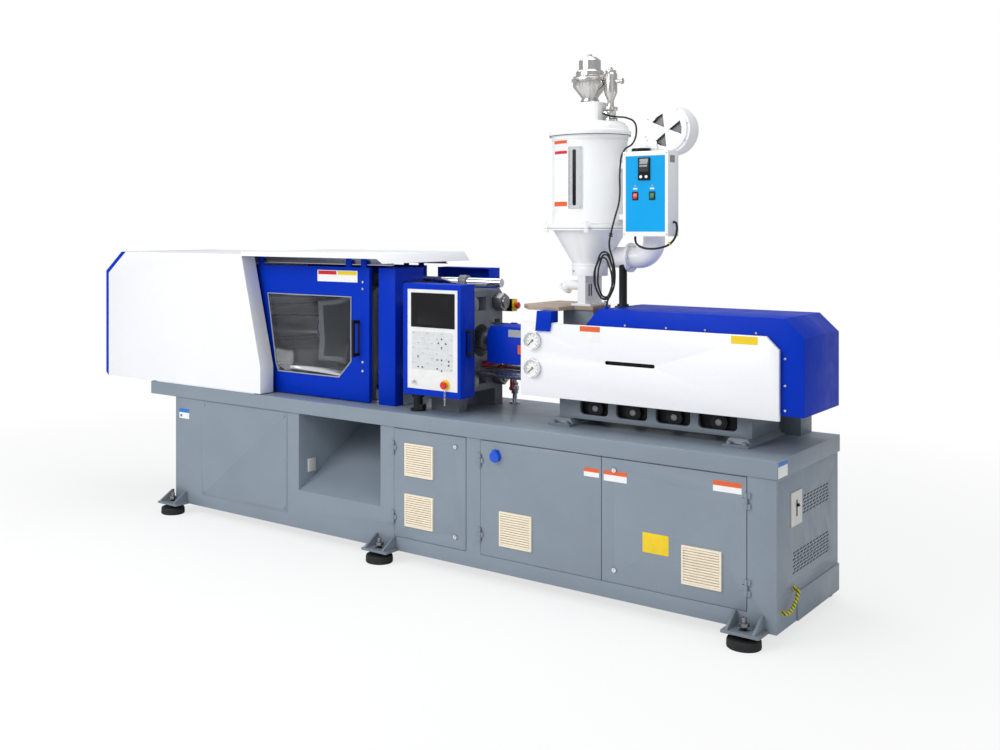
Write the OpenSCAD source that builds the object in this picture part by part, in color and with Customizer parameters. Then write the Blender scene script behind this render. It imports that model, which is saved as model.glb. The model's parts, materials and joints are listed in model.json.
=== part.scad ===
// Horizontal injection moulding machine with a direct hydraulic clamp on the left,
// a screw injection unit on the right and a hopper dryer on top of it.
// +X runs from the clamp to the injection unit, -Y is the operator's side, +Z is up.
// The origin is on the floor, in the middle of the machine's length and width.

/* [Bed] */
// Length of the machine table
table_l = 4480; // [4300:10:4700]
// Width of the machine table
table_w = 910; // [860:10:1000]
// Height of the table's edge
table_h = 88; // [70:1:120]
// Thickness of the table plate
table_plate = 30; // [20:1:40]
// Thickness of the webs under the table plate
table_web = 22; // [15:1:30]
// Distance of the table's left end from the machine's middle
table_left = 2014; // [1950:1:2080]
// Height of the welded base under the table
base_h = 728; // [700:1:780]
// Height of the base's underside above the floor
floor_gap = 65; // [55:1:90]
// Distance from the table's left end to the base
base_inset_left = 255; // [200:5:300]
// Distance from the table's right end to the base
base_inset_right = 9; // [0:1:20]
// Distance from the table's long edges to the base
base_inset_side = 10; // [5:1:20]
// Thickness of the base's steel sheet
base_sheet = 6; // [4:0.5:10]
// Width of the flat lip round each opening of the base
base_lip = 16; // [10:1:24]
// Height of the plinth band on the right end
plinth_h = 140; // [100:5:160]
// How far the plinth stands out
plinth_t = 8; // [4:1:9]

/* [Drop chute] */
// Distance of the chute bay from the base's left end
chute_at = 1170; // [1140:1:1200]
// Width of the chute bay
chute_l = 666; // [600:1:680]
// Height of the chute's front edge above the floor
chute_z = 302; // [250:1:340]
// Thickness of the chute sheet
chute_t = 5; // [3:0.5:8]
// Length of the drop opening in the table
drop_l = 600; // [500:10:640]
// Width of the drop opening in the table
drop_w = 396; // [340:2:400]

/* [Panels and doors] */
// Height of the lower edge of the panels and doors above the floor
door_z = 150; // [130:1:180]
// Height of the panels and doors
door_h = 636; // [600:1:640]
// Thickness of the door and panel sheet
door_sheet = 3; // [2:0.5:5]
// Depth of the folded door leaf
door_depth = 18; // [12:1:24]
// Gap round a door leaf
door_gap = 3; // [2:0.5:5]
// Distance of the access panel from the base's left end
panel_at = 270; // [260:1:300]
// Width of the access panel
panel_l = 798; // [700:1:810]
// Distance of the first door from the base's left end
door_a_at = 1942; // [1930:1:1955]
// Width of the first door
door_a_l = 513; // [480:1:530]
// Distance of the second door from the base's left end
door_b_at = 2556; // [2540:1:2570]
// Width of the second door
door_b_l = 748; // [700:1:750]
// Distance of the third door from the base's left end
door_c_at = 3308; // [3306:1:3320]
// Width of the third door
door_c_l = 764; // [700:1:780]
// Radius of a hinge knuckle
knuckle_r = 8; // [6:0.5:10]
// Radius of a hinge pin
hinge_pin_r = 3; // [2:0.5:4]
// Height of one hinge
hinge_h = 78; // [60:1:90]
// Distance of a hinge's middle from the door's edge
hinge_in = 112; // [90:1:140]
// Radial play of a moving fit
fit = 0.05; // [0.02:0.01:0.09]
// Width and height of a filter grille
grille_w = 204; // [180:1:220]
// Height of a filter grille
grille_h = 190; // [170:1:210]
// How far a filter grille stands out
grille_t = 11; // [8:1:16]
// Number of slats in a filter grille
grille_slats = 13; // [9:1:18]
// Radius of a lock barrel
lock_r = 9; // [7:0.5:11]

/* [Levelling feet] */
// Radius of the rubber foot
pad_r = 81; // [70:1:95]
// Height of the rubber foot
pad_h = 50; // [40:1:55]
// Distance of the foot's middle from the base's side
pad_out = 65; // [55:1:75]
// Width of a foot bracket
bracket_w = 186; // [160:1:220]
// Depth of a foot bracket
bracket_d = 122; // [110:1:140]
// Thickness of a foot bracket's plate
bracket_t = 14; // [10:1:20]
// Height of the bracket's gussets
gusset_h = 66; // [50:1:68]
// Radius of the foot's stud
foot_stud_r = 10; // [8:0.5:14]

/* [Clamp unit] */
// Height of the machine's centre line above the table
centre_h = 409; // [400:1:430]
// Injection side face of the fixed platen
platen_x = 500; // [480:1:520]
// Thickness of the fixed platen
fixed_t = 200; // [180:1:220]
// Half width of the fixed platen
fixed_half_w = 235; // [225:1:240]
// Half height of the platens
platen_half_h = 303; // [280:1:310]
// Half width of the moving platen
moving_half_w = 232; // [225:1:245]
// Thickness of the moving platen
moving_t = 240; // [200:5:260]
// Daylight between the platens with the clamp closed
daylight = 450; // [400:5:480]
// Opening stroke of the moving platen
clamp_stroke = 360; // [300:5:380]
// Sideways distance of the tie bars from the centre
tie_y = 168; // [160:1:175]
// Height of the tie bars above and below the centre
tie_z = 225; // [210:1:235]
// Radius of a tie bar
tie_r = 35; // [30:1:40]
// Radius of a tie bar nut
nut_r = 56; // [50:1:60]
// Thickness of a tie bar nut
nut_t = 62; // [50:1:80]
// Clamp side face of the cylinder platen
rear_x = -1320; // [-1340:5:-1300]
// Thickness of the cylinder platen
rear_t = 240; // [200:5:260]
// Length of the clamp cylinder
cyl_l = 860; // [800:5:880]
// Outer radius of the clamp cylinder
cyl_r = 205; // [190:1:215]
// Bore radius of the clamp cylinder
cyl_bore_r = 160; // [150:1:170]
// Radius of the clamp ram
ram_r = 118; // [100:1:125]
// Length of the ejector housing behind the moving platen
hub_l = 310; // [280:5:340]
// Half size of the ejector housing
hub_half = 165; // [150:1:170]
// Ejector stroke
eject_stroke = 100; // [60:5:110]
// Radius of an ejector rod
eject_rod_r = 13; // [10:1:16]
// Radius of the locating ring's seat
ring_r = 62.5; // [50:0.5:75]
// Depth of the locating ring's seat
ring_t = 25; // [15:1:30]
// Sideways spacing of the mould bolt holes
mould_dy = 210; // [200:10:220]
// Upright spacing of the mould bolt holes
mould_dz = 280; // [260:10:300]
// Radius of a mould bolt hole
mould_r = 8; // [6:0.5:10]
// Height of the slide strips under the moving platen
strip_h = 15; // [10:1:20]
// Radius of the safety rod over the platens
safety_r = 27; // [22:1:30]
// Sideways place of the safety rod
safety_y = 60; // [55:1:70]
// Height of the safety rod above the centre line
safety_z = 347; // [340:1:355]

/* [Guards] */
// Thickness of the cover sheets
cover_sheet = 4; // [3:0.5:6]
// How far the clamp cover reaches past the table's left end
cover_over = 508; // [480:1:520]
// Height of the clamp cover above the table
cover_h = 914; // [900:1:930]
// Depth of the return behind the cover's slanted edge
cover_return = 122; // [90:1:130]
// Front face of the sliding safety doors, from the middle
guard_y = 300; // [298:1:310]
// Depth of the safety doors
guard_t = 30; // [24:1:34]
// Height of the safety doors above the table
guard_h = 842; // [820:1:845]
// Travel of the safety doors
guard_travel = 650; // [500:10:680]
// Width of the front guard post
post_w = 130; // [110:1:140]
// Depth of the front guard post
post_d = 80; // [60:1:90]
// Radius of the door handle's bar
handle_r = 11; // [8:0.5:14]

/* [Control box] */
// Left side of the control box
box_x = 205; // [195:1:215]
// Width of the control box
box_w = 414; // [400:1:420]
// Height of the control box
box_h = 653; // [600:1:660]
// Depth of the control box with its door
box_d = 143; // [120:1:144]
// Front face of the control box, from the middle
box_y = 388; // [386:1:400]
// Height of the control box's underside above the table
box_z = 107; // [100:1:130]
// Thickness of the control box door
box_door_t = 14; // [10:1:18]
// Height of the screen bezel
screen_h = 202; // [180:1:220]
// Width of the screen bezel
screen_w = 314; // [300:1:330]
// Radius of the red emergency stop heads
stop_r = 22; // [18:1:24]
// Travel of the emergency stop heads
stop_travel = 5; // [3:0.5:7]

/* [Injection unit] */
// Bore radius of the barrel
barrel_bore_r = 22.5; // [20:0.5:27]
// Outer radius of the barrel
barrel_r = 48; // [42:1:52]
// Place of the nozzle tip
nozzle_x = 334; // [330:1:345]
// Left side of the feed housing
feed_x = 1120; // [1100:1:1125]
// Length of the feed housing
feed_l = 190; // [180:1:220]
// Place of the hopper's axis along the machine
hopper_x = 1236; // [1226:1:1242]
// Radius of the feed bore under the hopper
feed_r = 18; // [14:1:20]
// Length of the cast injection base
base_cast_l = 1090; // [1060:5:1100]
// Left end of the cast injection base
base_cast_x = 1150; // [1140:1:1160]
// Half width of the cast injection base
base_cast_half = 187; // [180:1:200]
// Height of the cast injection base
base_cast_h = 148; // [140:1:160]
// Wall of the cast injection base
base_cast_t = 24; // [18:1:30]
// Height of the cross beams under the injection base
beam_h = 41; // [36:1:50]
// Sideways place of the carriage rods
carriage_rod_y = 92; // [88:1:95]
// Height of the carriage rods above the table
carriage_rod_z = 234; // [230:1:240]
// Radius of the carriage rods
carriage_rod_r = 28; // [22:1:30]
// Carriage travel
carriage_travel = 250; // [150:10:255]
// Screw travel
screw_travel = 150; // [100:10:160]
// Left end of the side panels
side_x = 960; // [950:1:980]
// Length of the side panels
side_l = 1450; // [1400:5:1470]
// Height of the side panels' lower edge above the table
side_z = 158; // [150:1:170]
// Height of the side panels
side_h = 406; // [390:1:420]
// Face of the side panels, from the middle
side_y = 288; // [284:1:292]
// Left end of the blue cover at its lower edge
hood_x = 1355; // [1350:1:1365]
// Right end of the blue cover
hood_end = 2522; // [2480:1:2540]
// Half width of the blue cover
hood_half = 258; // [252:1:260]
// Height of the blue cover's top above the table
hood_z = 653; // [645:1:660]
// Radius of the pressure gauges
gauge_r = 50; // [40:1:54]
// Left end of the nozzle guard
nozzle_guard_x = 622; // [620:1:630]
// Length of the nozzle guard
nozzle_guard_l = 256; // [240:1:260]
// Half width of the nozzle guard
nozzle_guard_half = 120; // [110:1:125]

/* [Hopper dryer] */
// Thickness of the hopper's mounting plate
seat_t = 23; // [18:1:28]
// Height of the mounting plate's top above the table
seat_z = 654; // [650:1:660]
// Height of the throat between plate and cone
throat_h = 219; // [200:1:230]
// Lower radius of the hopper cone
cone_r = 83; // [70:1:95]
// Height of the hopper cone
cone_h = 214; // [190:1:230]
// Radius of the hopper drum
drum_r = 208; // [200:1:225]
// Height of the hopper drum
drum_h = 494; // [450:1:520]
// Wall of the hopper
drum_t = 4; // [3:0.5:6]
// Height of the hopper lid
lid_h = 99; // [80:1:110]
// Height of the white box on the lid
lid_box_h = 110; // [90:1:120]
// Width of the white box on the lid
lid_box_w = 180; // [160:1:190]
// Largest radius of the vacuum receiver
receiver_r = 102; // [96:1:110]
// Width of the dryer's control box
dryer_w = 260; // [240:1:270]
// Height of the dryer's control box
dryer_h = 455; // [430:1:470]
// Depth of the dryer's control box
dryer_d = 130; // [110:1:150]
// Left side of the dryer's control box
dryer_x = 1507; // [1500:1:1515]
// Radius of the blower housing
blower_r = 134; // [120:1:140]
// Radius of the hot air pipe
pipe_r = 58; // [50:1:64]

/* [Hidden] */
$fn = 48;

// Paints and metals
blue_paint = [0.03, 0.16, 0.68];
grey_paint = [0.54, 0.59, 0.64];
platen_grey = [0.5, 0.52, 0.54];
dryer_white = [0.93, 0.94, 0.94];
panel_white = [0.96, 0.96, 0.97];
cream = [0.97, 0.92, 0.84];
bright_steel = [0.78, 0.8, 0.82];
stop_red = [0.86, 0.05, 0.08];
black_plastic = [0.06, 0.06, 0.07];
signal_yellow = [0.95, 0.85, 0.1];
base_grey = [0.5, 0.53, 0.56];

// Levels above the floor
base_top = floor_gap + base_h;
top_z = base_top + table_h;
axis_z = top_z + centre_h;

// Bed
table_x0 = -table_left;
table_x1 = table_x0 + table_l;
table_y = table_w / 2;
base_x0 = table_x0 + base_inset_left;
base_x1 = table_x1 - base_inset_right;
base_y = table_y - base_inset_side;
front_stretch = (base_x1 - base_x0) / 4216;
chute_x = base_x0 + chute_at * front_stretch;
chute_w = chute_l * front_stretch;
panel_x = base_x0 + panel_at * front_stretch;
panel_w = panel_l * front_stretch;
door_a_x = base_x0 + door_a_at * front_stretch;
door_a_w = door_a_l * front_stretch;
door_b_x = base_x0 + door_b_at * front_stretch;
door_b_w = door_b_l * front_stretch;
door_c_x = base_x0 + door_c_at * front_stretch;
door_c_w = door_c_l * front_stretch;
chute_x1 = chute_x + chute_w;
drop_x = chute_x + (chute_w - drop_l) / 2;
door_top = door_z + door_h;
end_y0 = -base_y + 14;
end_y1 = base_y - 14;
end_z0 = floor_gap + plinth_h + 12;
foot_xs = [base_x0 + 45, (base_x0 + base_x1) / 2 - 228, base_x1 - 131];
foot_y = base_y + pad_out;
door_front = base_y + 2;
knuckle_y = door_front + knuckle_r;

// Clamp
fixed_x0 = platen_x - fixed_t;
mover_x1 = fixed_x0 - daylight;
mover_x0 = mover_x1 - moving_t;
hub_x0 = mover_x0 - hub_l;
rear_x0 = rear_x - rear_t;
cyl_x0 = rear_x0 - cyl_l;
piston_x = rear_x0 - 130;
platen_z0 = axis_z - platen_half_h;
hub_t = 30;
eject_x = hub_x0 + 100;
safety_x1 = platen_x + 108;

// Guards
cover_x0 = table_x0 - cover_over;
cover_top = top_z + cover_h;
end_lip = 30;
lean_x0 = -1102;
lean_x1 = -923;
lean_z = top_z + 180;
shade_x1 = 59;
shade_h = 30;
shade_top = cover_top + 18;
rail_z = top_z + guard_h + 20;
guard_top = top_z + guard_h;
guard_x1 = -130;
post_x = -66;
post_y1 = -286;
window_t = 5;

// Control box
box_z0 = top_z + box_z;
box_top = box_z0 + box_h;
box_back = -box_y + box_d;
box_x1 = box_x + box_w;
pivot_x = box_x + 52;
pivot_y = -box_y + 78;
panel_y = -box_y + box_door_t;
stop_x = box_x + 309;
stop_z = box_z0 + 74;
key_x = box_x + 88;

// Injection unit
beam_top = top_z + beam_h;
cast_top = beam_top + base_cast_h;
cast_x1 = base_cast_x + base_cast_l;
rod_level = top_z + carriage_rod_z;
seat_top = top_z + seat_z;
seat_low = seat_top - seat_t;
side_z0 = top_z + side_z;
side_z1 = side_z0 + side_h;
side_x1 = side_x + side_l;
hood_top = top_z + hood_z;
hood_z0 = side_z0 + 24;
gauge_x = side_x + 81;
gauge_zs = [side_z0 + 306, side_z0 + 153];
slot_x = side_x + 523;
slot_l = 284;
thrust_x = feed_x + 560;
guard_z0 = axis_z - 113;
guard_z1 = axis_z + 101;

// Hopper dryer
cone_z = seat_top + throat_h;
drum_z = cone_z + cone_h;
lid_z = drum_z + drum_h;
lid_top = lid_z + lid_h;
receiver_z = lid_top + lid_box_h;
dryer_y0 = -130;
dryer_z = lid_z - 537;

// Routes of the leads and hoses
earth_route = [for (p = [[5.2, -217, 231], [17, -217, 231], [28, -230, 224], [30, -262, 196],
    [29, -310, 168], [27, -344, 156], [19, -365, 149], [5.2, -365, 149]]) [base_x1 + p[0], p[1], p[2]]];
hose_route = [[500.2, 20, 1126], [520, 20, 1126], [546, 44, 1150], [580, 92, 1164], [602, 140, 1134],
    [605, 190, 1106], [596, 228, 1084], [574, 244, 1080], [574, 261.8, 1080]];
lead_route = [[1366, -70.2, 2601], [1366, -88, 2600], [1388, -84, 2590], [1416, -30, 2584], [1442, 60, 2580],
    [1462, 96, 2560], [1474, 96, 2510], [1474, 66, 2450], [1472, -66, 2380], [1468, -88, 2290],
    [1468, -96, 2120],
    [1462, -140, 2020], [1450, -158, 1940], [1444, -166, 1880], [1450, -128, 1780], [1452, -116, 1700],
    [1438, -124, 1620], [1412, -148, 1580], [1380, -178, 1620], [1370, -190, 1700], [1382, -186, 1780],
    [1414, -164, 1840], [1444, -142, 1780], [1450, -138, 1700], [1442, -148, 1630], [1422, -166, 1594],
    [1396, -190, 1640], [1392, -196, 1710], [1402, -190, 1780], [1424, -176, 1826], [1450, -158, 1780],
    [1460, -152, 1710], [1452, -164, 1636], [1428, -186, 1586], [1396, -212, 1630], [1384, -224, 1700],
    [1396, -218, 1770], [1424, -196, 1810], [1452, -180, 1760], [1466, -176, 1690], [1462, -184, 1620],
    [1444, -188, 1570], [1440, -188, 1546.2]];
box_lead_route = [[1548, -66, 1924.8], [1548, -66, 1906], [1558, -70, 1884], [1590, -76, 1866],
    [1640, -80, 1858], [1700, -80, 1864], [1748, -76, 1882], [1776, -72, 1912], [1788, -68, 1952],
    [1787, -66, 1984], [1780, -66, 2000], [1767.2, -66, 2000]];

// Box between two corners
module block(a, b) {
    translate(a) cube(b - a);
}

// Rods along the three axes from one end to the other
module rod_x(x0, x1, y, z, r) {
    translate([x0, y, z]) rotate([0, 90, 0]) cylinder(h = x1 - x0, r = r);
}
module rod_y(x, y0, y1, z, r) {
    translate([x, y1, z]) rotate([90, 0, 0]) cylinder(h = y1 - y0, r = r);
}
module rod_z(x, y, z0, z1, r) {
    translate([x, y, z0]) cylinder(h = z1 - z0, r = r);
}

// Outline in X and Z drawn through Y, and outline in Y and Z drawn through X
module prism_y(points, y0, y1) {
    translate([0, y1, 0]) rotate([90, 0, 0]) linear_extrude(y1 - y0) polygon(points);
}
module prism_x(points, x0, x1) {
    translate([x0, 0, 0]) rotate([90, 0, 90]) linear_extrude(x1 - x0) polygon(points);
}

// Rectangle with round corners in X and Z, drawn through Y
module soft_y(x0, x1, z0, z1, r, y0, y1) {
    translate([0, y1, 0]) rotate([90, 0, 0]) linear_extrude(y1 - y0)
        union() {
            translate([x0 + r, z0]) square([x1 - x0 - 2 * r, z1 - z0]);
            translate([x0, z0 + r]) square([x1 - x0, z1 - z0 - 2 * r]);
            for (x = [x0 + r, x1 - r], z = [z0 + r, z1 - r]) translate([x, z]) circle(r = r);
        }
}

// Copies on both sides of the middle plane
module both_sides() {
    children();
    mirror([0, 1, 0]) children();
}

// Tube swept along a route of points
function unit(v) = v / norm(v);
function heading(p, i) = unit(p[min(i + 1, len(p) - 1)] - p[max(i - 1, 0)]);
function side_of(d) = unit(cross(d, abs(d[2]) > 0.9 ? [0, 1, 0] : [0, 0, 1]));
module swept(p, r, sides) {
    rings = [for (i = [0:len(p) - 1]) let (d = heading(p, i), u = side_of(d), v = cross(d, u))
        for (k = [0:sides - 1]) p[i] + r * (cos(360 * k / sides) * u + sin(360 * k / sides) * v)];
    last = (len(p) - 1) * sides;
    walls = [for (i = [0:len(p) - 2], k = [0:sides - 1])
        let (a = i * sides + k, b = i * sides + (k + 1) % sides) [a, a + sides, b + sides, b]];
    polyhedron(rings, concat([[for (k = [0:sides - 1]) k]], walls,
        [[for (k = [sides - 1:-1:0]) last + k]]), 4);
}

// Opening of a panel or door in the base's front sheet
module front_opening(x, w) {
    block([x - door_gap, -base_y - 1, door_z - door_gap],
        [x + w + door_gap, -base_y + base_sheet + 1, door_top + door_gap]);
}

// Frame side of a door hinge: lug, two knuckles and the pin, on the post at x
module hinge_fixed(x, z, side) {
    for (dz = [-hinge_h / 2, hinge_h / 6 + 0.3]) {
        rod_z(x, -knuckle_y, z + dz, z + dz + hinge_h / 3 - 0.3, knuckle_r);
        block([min(x, x + side * 20), -knuckle_y, z + dz],
            [max(x, x + side * 20), -base_y, z + dz + hinge_h / 3 - 0.3]);
    }
    rod_z(x, -knuckle_y, z - hinge_h / 2, z + hinge_h / 2, hinge_pin_r);
}

// Door side of the hinge: the middle knuckle with its bore
module hinge_moving(x, z, side) {
    difference() {
        union() {
            rod_z(x, -knuckle_y, z - hinge_h / 6, z + hinge_h / 6, knuckle_r);
            block([min(x, x - side * 20), -knuckle_y, z - hinge_h / 6],
                [max(x, x - side * 20), -door_front, z + hinge_h / 6]);
        }
        rod_z(x, -knuckle_y, z - hinge_h, z + hinge_h, hinge_pin_r + fit);
    }
}

// Heights of a door's two hinges
function hinge_zs() = [door_z + hinge_in, door_top - hinge_in];

// Welded base of folded sheet, with the bays behind its panels and doors
module bed_frame() color(grey_paint) {
    difference() {
        union() {
            block([base_x0, -base_y, floor_gap], [base_x1, base_y, base_top]);
            block([base_x1, -base_y + 265, floor_gap], [base_x1 + plinth_t, base_y, floor_gap + plinth_h]);
        }
        block([base_x0 + base_sheet, -base_y + base_sheet, floor_gap + base_sheet],
            [chute_x - base_sheet, base_y - base_sheet, base_top + 1]);
        block([chute_x1 + base_sheet, -base_y + base_sheet, floor_gap + base_sheet],
            [door_b_x - 50, base_y - base_sheet, base_top + 1]);
        block([door_b_x - 50 + base_sheet, -base_y + base_sheet, floor_gap + base_sheet],
            [base_x1 - base_sheet, base_y - base_sheet, base_top + 1]);
        block([chute_x, -base_y - 1, chute_z], [chute_x1, base_y - base_sheet, base_top + 1]);
        block([chute_x, -base_y + base_sheet, floor_gap + base_sheet],
            [chute_x1, base_y - base_sheet, base_top + 1]);
        block([panel_x + base_lip, -base_y - 1, door_z + base_lip],
            [panel_x + panel_w - base_lip, -base_y + base_sheet + 1, door_top - base_lip]);
        front_opening(door_a_x, door_a_w);
        front_opening(door_b_x, door_c_x + door_c_w - door_b_x);
        block([base_x1 - base_sheet - 1, end_y0, end_z0], [base_x1 + 1, end_y1, base_top - 14]);
        for (x = [[panel_x, panel_w], [door_b_x, door_b_w], [door_c_x, door_c_w]])
            block([x[0] + base_lip, base_y - base_sheet - 1, door_z + base_lip],
                [x[0] + x[1] - base_lip, base_y + 1, door_top - base_lip]);
    }
    for (z = hinge_zs()) {
        hinge_fixed(door_a_x - door_gap / 2, z, -1);
        hinge_fixed(door_b_x - door_gap / 2, z, -1);
        hinge_fixed(door_c_x + door_c_w + door_gap / 2, z, 1);
    }
}

// Table plate with its webs and the drop opening over the chute
module bed_table() color(grey_paint) {
    difference() {
        block([table_x0, -table_y, base_top], [table_x1, table_y, top_z]);
        pockets = [table_x0, base_x0, chute_x, chute_x1, door_b_x, door_c_x, table_x1];
        for (i = [0:len(pockets) - 2]) {
            if (i != 2) {
                block([pockets[i] + (i == 0 ? table_web : table_web / 2), -table_y + table_web + 10, base_top - 1],
                    [pockets[i + 1] - table_web / 2 - (i == 5 ? table_web / 2 : 0), table_y - table_web - 10,
                    top_z - table_plate]);
            }
        }
        block([drop_x, -drop_w / 2, base_top - 1], [drop_x + drop_l, drop_w / 2, top_z + 1]);
    }
}

// Round screw head on a front or back face
module face_screws(x0, x1, z0, z1, y, out) {
    for (x = [x0 + 24, x1 - 24], z = [z0 + 24, z1 - 24])
        rod_y(x, min(y, y + out), max(y, y + out), z, 8);
}

// Slanted slots of the end panel: rows of short slots, each row shifted
module slot_field(y0, y1, z0, z1, rows) {
    pitch = (z1 - z0) / rows;
    slot_w = 36;
    count = floor((y1 - y0) / (slot_w + 12));
    for (i = [0:rows - 1], k = [0:count - 1])
        translate([base_x1 - base_sheet - 1, y0 + k * (slot_w + 12) + (i % 2) * 12, z0 + i * pitch])
            rotate([6, 0, 0]) cube([base_sheet + 2, slot_w, pitch * 0.45]);
}

// Bolted sheet panels of the base and the sloping chute sheet
module bed_panels() color([0.52, 0.57, 0.62]) {
    block([panel_x, -base_y - door_sheet, door_z], [panel_x + panel_w, -base_y, door_top]);
    face_screws(panel_x, panel_x + panel_w, door_z, door_top, -base_y - door_sheet, -5);
    for (p = [[panel_x, panel_w], [door_b_x, door_b_w], [door_c_x, door_c_w]]) {
        block([p[0], base_y, door_z], [p[0] + p[1], base_y + door_sheet, door_top]);
        face_screws(p[0], p[0] + p[1], door_z, door_top, base_y + door_sheet, 5);
    }
    prism_x([[-base_y, chute_z], [-base_y, chute_z + chute_t], [base_y - base_sheet, base_top - 3],
        [base_y - base_sheet, base_top - 3 - chute_t * 1.2], [-base_y + 8, chute_z]], chute_x, chute_x1);
    difference() {
        block([base_x1 - base_sheet, end_y0, end_z0], [base_x1, end_y1, base_top - 14]);
        slot_field(-88, 342, 566, 662, 6);
        slot_field(-228, 334, 300, 412, 7);
        block([base_x1 - base_sheet - 1, breaker_y - 30, breaker_z - 45],
            [base_x1 + 1, breaker_y + 30, breaker_z + 45]);
    }
}

// Brackets of the levelling feet: plate, two gussets, stud and nuts
module foot_brackets() color([0.5, 0.55, 0.6]) {
    for (x = foot_xs) both_sides() {
        difference() {
            block([x - bracket_w / 2, -base_y - bracket_d, floor_gap], [x + bracket_w / 2, -base_y,
                floor_gap + bracket_t]);
            rod_z(x, -foot_y, floor_gap - 1, floor_gap + bracket_t + 1, foot_stud_r + 0.5);
        }
        for (s = [x - bracket_w / 2 + 20, x + bracket_w / 2 - 34])
            prism_x([[-base_y, floor_gap + bracket_t], [-base_y, floor_gap + gusset_h + bracket_t],
                [-base_y - 16, floor_gap + gusset_h + bracket_t], [-base_y - bracket_d + 4,
                floor_gap + bracket_t + 10], [-base_y - bracket_d + 4, floor_gap + bracket_t]], s, s + 14);
    }
}

// Rubber feet with their studs and nuts
module foot_pads() color([0.1, 0.1, 0.1]) {
    for (x = foot_xs) both_sides() {
        translate([x, -foot_y, 0]) rotate_extrude()
            polygon([[0, 0], [pad_r, 0], [pad_r, pad_h - 12], [pad_r - 8, pad_h], [0, pad_h]]);
        rod_z(x, -foot_y, pad_h, floor_gap + bracket_t + 62, foot_stud_r);
        translate([x, -foot_y, pad_h]) cylinder(h = floor_gap - pad_h, r = foot_stud_r * 2);
        translate([x, -foot_y, floor_gap + bracket_t]) cylinder(h = 20, r = foot_stud_r * 1.9, $fn = 6);
    }
}

// Filter grille: rim and sloping slats on a door's front
module grille(x, z) {
    front = -door_front - grille_t;
    difference() {
        block([x, front, z], [x + grille_w, -door_front, z + grille_h]);
        block([x + 9, front - 1, z + 9], [x + grille_w - 9, -door_front + 1, z + grille_h - 9]);
    }
    pitch = (grille_h - 18) / grille_slats;
    for (i = [0:grille_slats - 1])
        prism_x([[front + 1, z + 9 + pitch * (i + 0.08)], [-door_front, z + 9 + pitch * (i + 0.5)],
            [-door_front, z + 9 + pitch * (i + 0.8)], [front + 1, z + 9 + pitch * (i + 0.66)]],
            x + 8, x + grille_w - 8);
}

// Folded door leaf with cut-outs behind its grilles and lock holes
module door_leaf(x, w, grilles, locks) {
    y1 = -door_front + door_depth;
    difference() {
        block([x, -door_front, door_z], [x + w, y1, door_top]);
        block([x + door_sheet, -door_front + door_sheet, door_z + door_sheet],
            [x + w - door_sheet, y1 + 1, door_top - door_sheet]);
        for (g = grilles)
            block([g[0] + 14, -door_front - 1, g[1] + 14],
                [g[0] + grille_w - 14, -door_front + door_sheet + 1, g[1] + grille_h - 14]);
        for (p = locks) rod_y(p[0], -door_front - 1, -door_front + door_sheet + 1, p[1], lock_r + fit);
    }
}

door_a_grilles = [[door_a_x + 84, door_z + 368], [door_a_x + 84, door_z + 72]];
door_b_grille = [[door_b_x + 128, door_z + 70]];
door_c_grille = [[door_c_x + 440, door_z + 70]];
lock_zs = [door_z + 66, door_top - 58];
left_lock_x = door_a_x + door_a_w - 70;
right_lock_x = door_c_x + 72;

module left_cabinet_door() {
    color(grey_paint) {
        door_leaf(door_a_x, door_a_w, door_a_grilles, [for (z = lock_zs) [left_lock_x, z]]);
        for (z = hinge_zs()) hinge_moving(door_a_x - door_gap / 2, z, -1);
    }
    color(cream) for (g = door_a_grilles) grille(g[0], g[1]);
}

socket_x = door_b_x + 105;
socket_z = door_top - 78;
socket_r = 31;
cap_z = socket_z + socket_r + 3;
cap_y = -door_front - 24;

module middle_cabinet_door() {
    color(grey_paint) {
        door_leaf(door_b_x, door_b_w, door_b_grille, []);
        for (z = hinge_zs()) hinge_moving(door_b_x - door_gap / 2, z, -1);
    }
    color(cream) for (g = door_b_grille) grille(g[0], g[1]);
    color([0.1, 0.3, 0.75]) {
        difference() {
            rod_y(socket_x, cap_y + 3.3, -door_front, socket_z, socket_r);
            rod_y(socket_x, cap_y, -door_front - 5, socket_z, socket_r - 8);
        }
        for (x = [socket_x - 14, socket_x + 8])
            {
                block([x, cap_y + 3.3, socket_z + socket_r - 6], [x + 6, -door_front, cap_z + 3]);
                block([x, cap_y - 3, socket_z + socket_r - 1], [x + 6, cap_y + 3.4, cap_z + 3]);
            }
        rod_x(socket_x - 14, socket_x + 14, cap_y, cap_z, 2);
    }
}

// Hinged cap over the round socket
module socket_cap() color([0.05, 0.25, 0.8]) {
    difference() {
        union() {
            rod_y(socket_x, cap_y - 4, cap_y + 3, socket_z, socket_r - 2);
            rod_x(socket_x - 7.7, socket_x + 7.7, cap_y, cap_z, 4);
            block([socket_x - 7.7, cap_y - 4, socket_z + socket_r - 12], [socket_x + 7.7, cap_y + 3, cap_z]);
        }
        rod_x(socket_x - 9, socket_x + 9, cap_y, cap_z, 2 + fit);
    }
}

module right_cabinet_door() {
    color(grey_paint) {
        door_leaf(door_c_x, door_c_w, door_c_grille, [for (z = lock_zs) [right_lock_x, z]]);
        for (z = hinge_zs()) hinge_moving(door_c_x + door_c_w + door_gap / 2, z, 1);
    }
    color(cream) for (g = door_c_grille) grille(g[0], g[1]);
}

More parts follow.
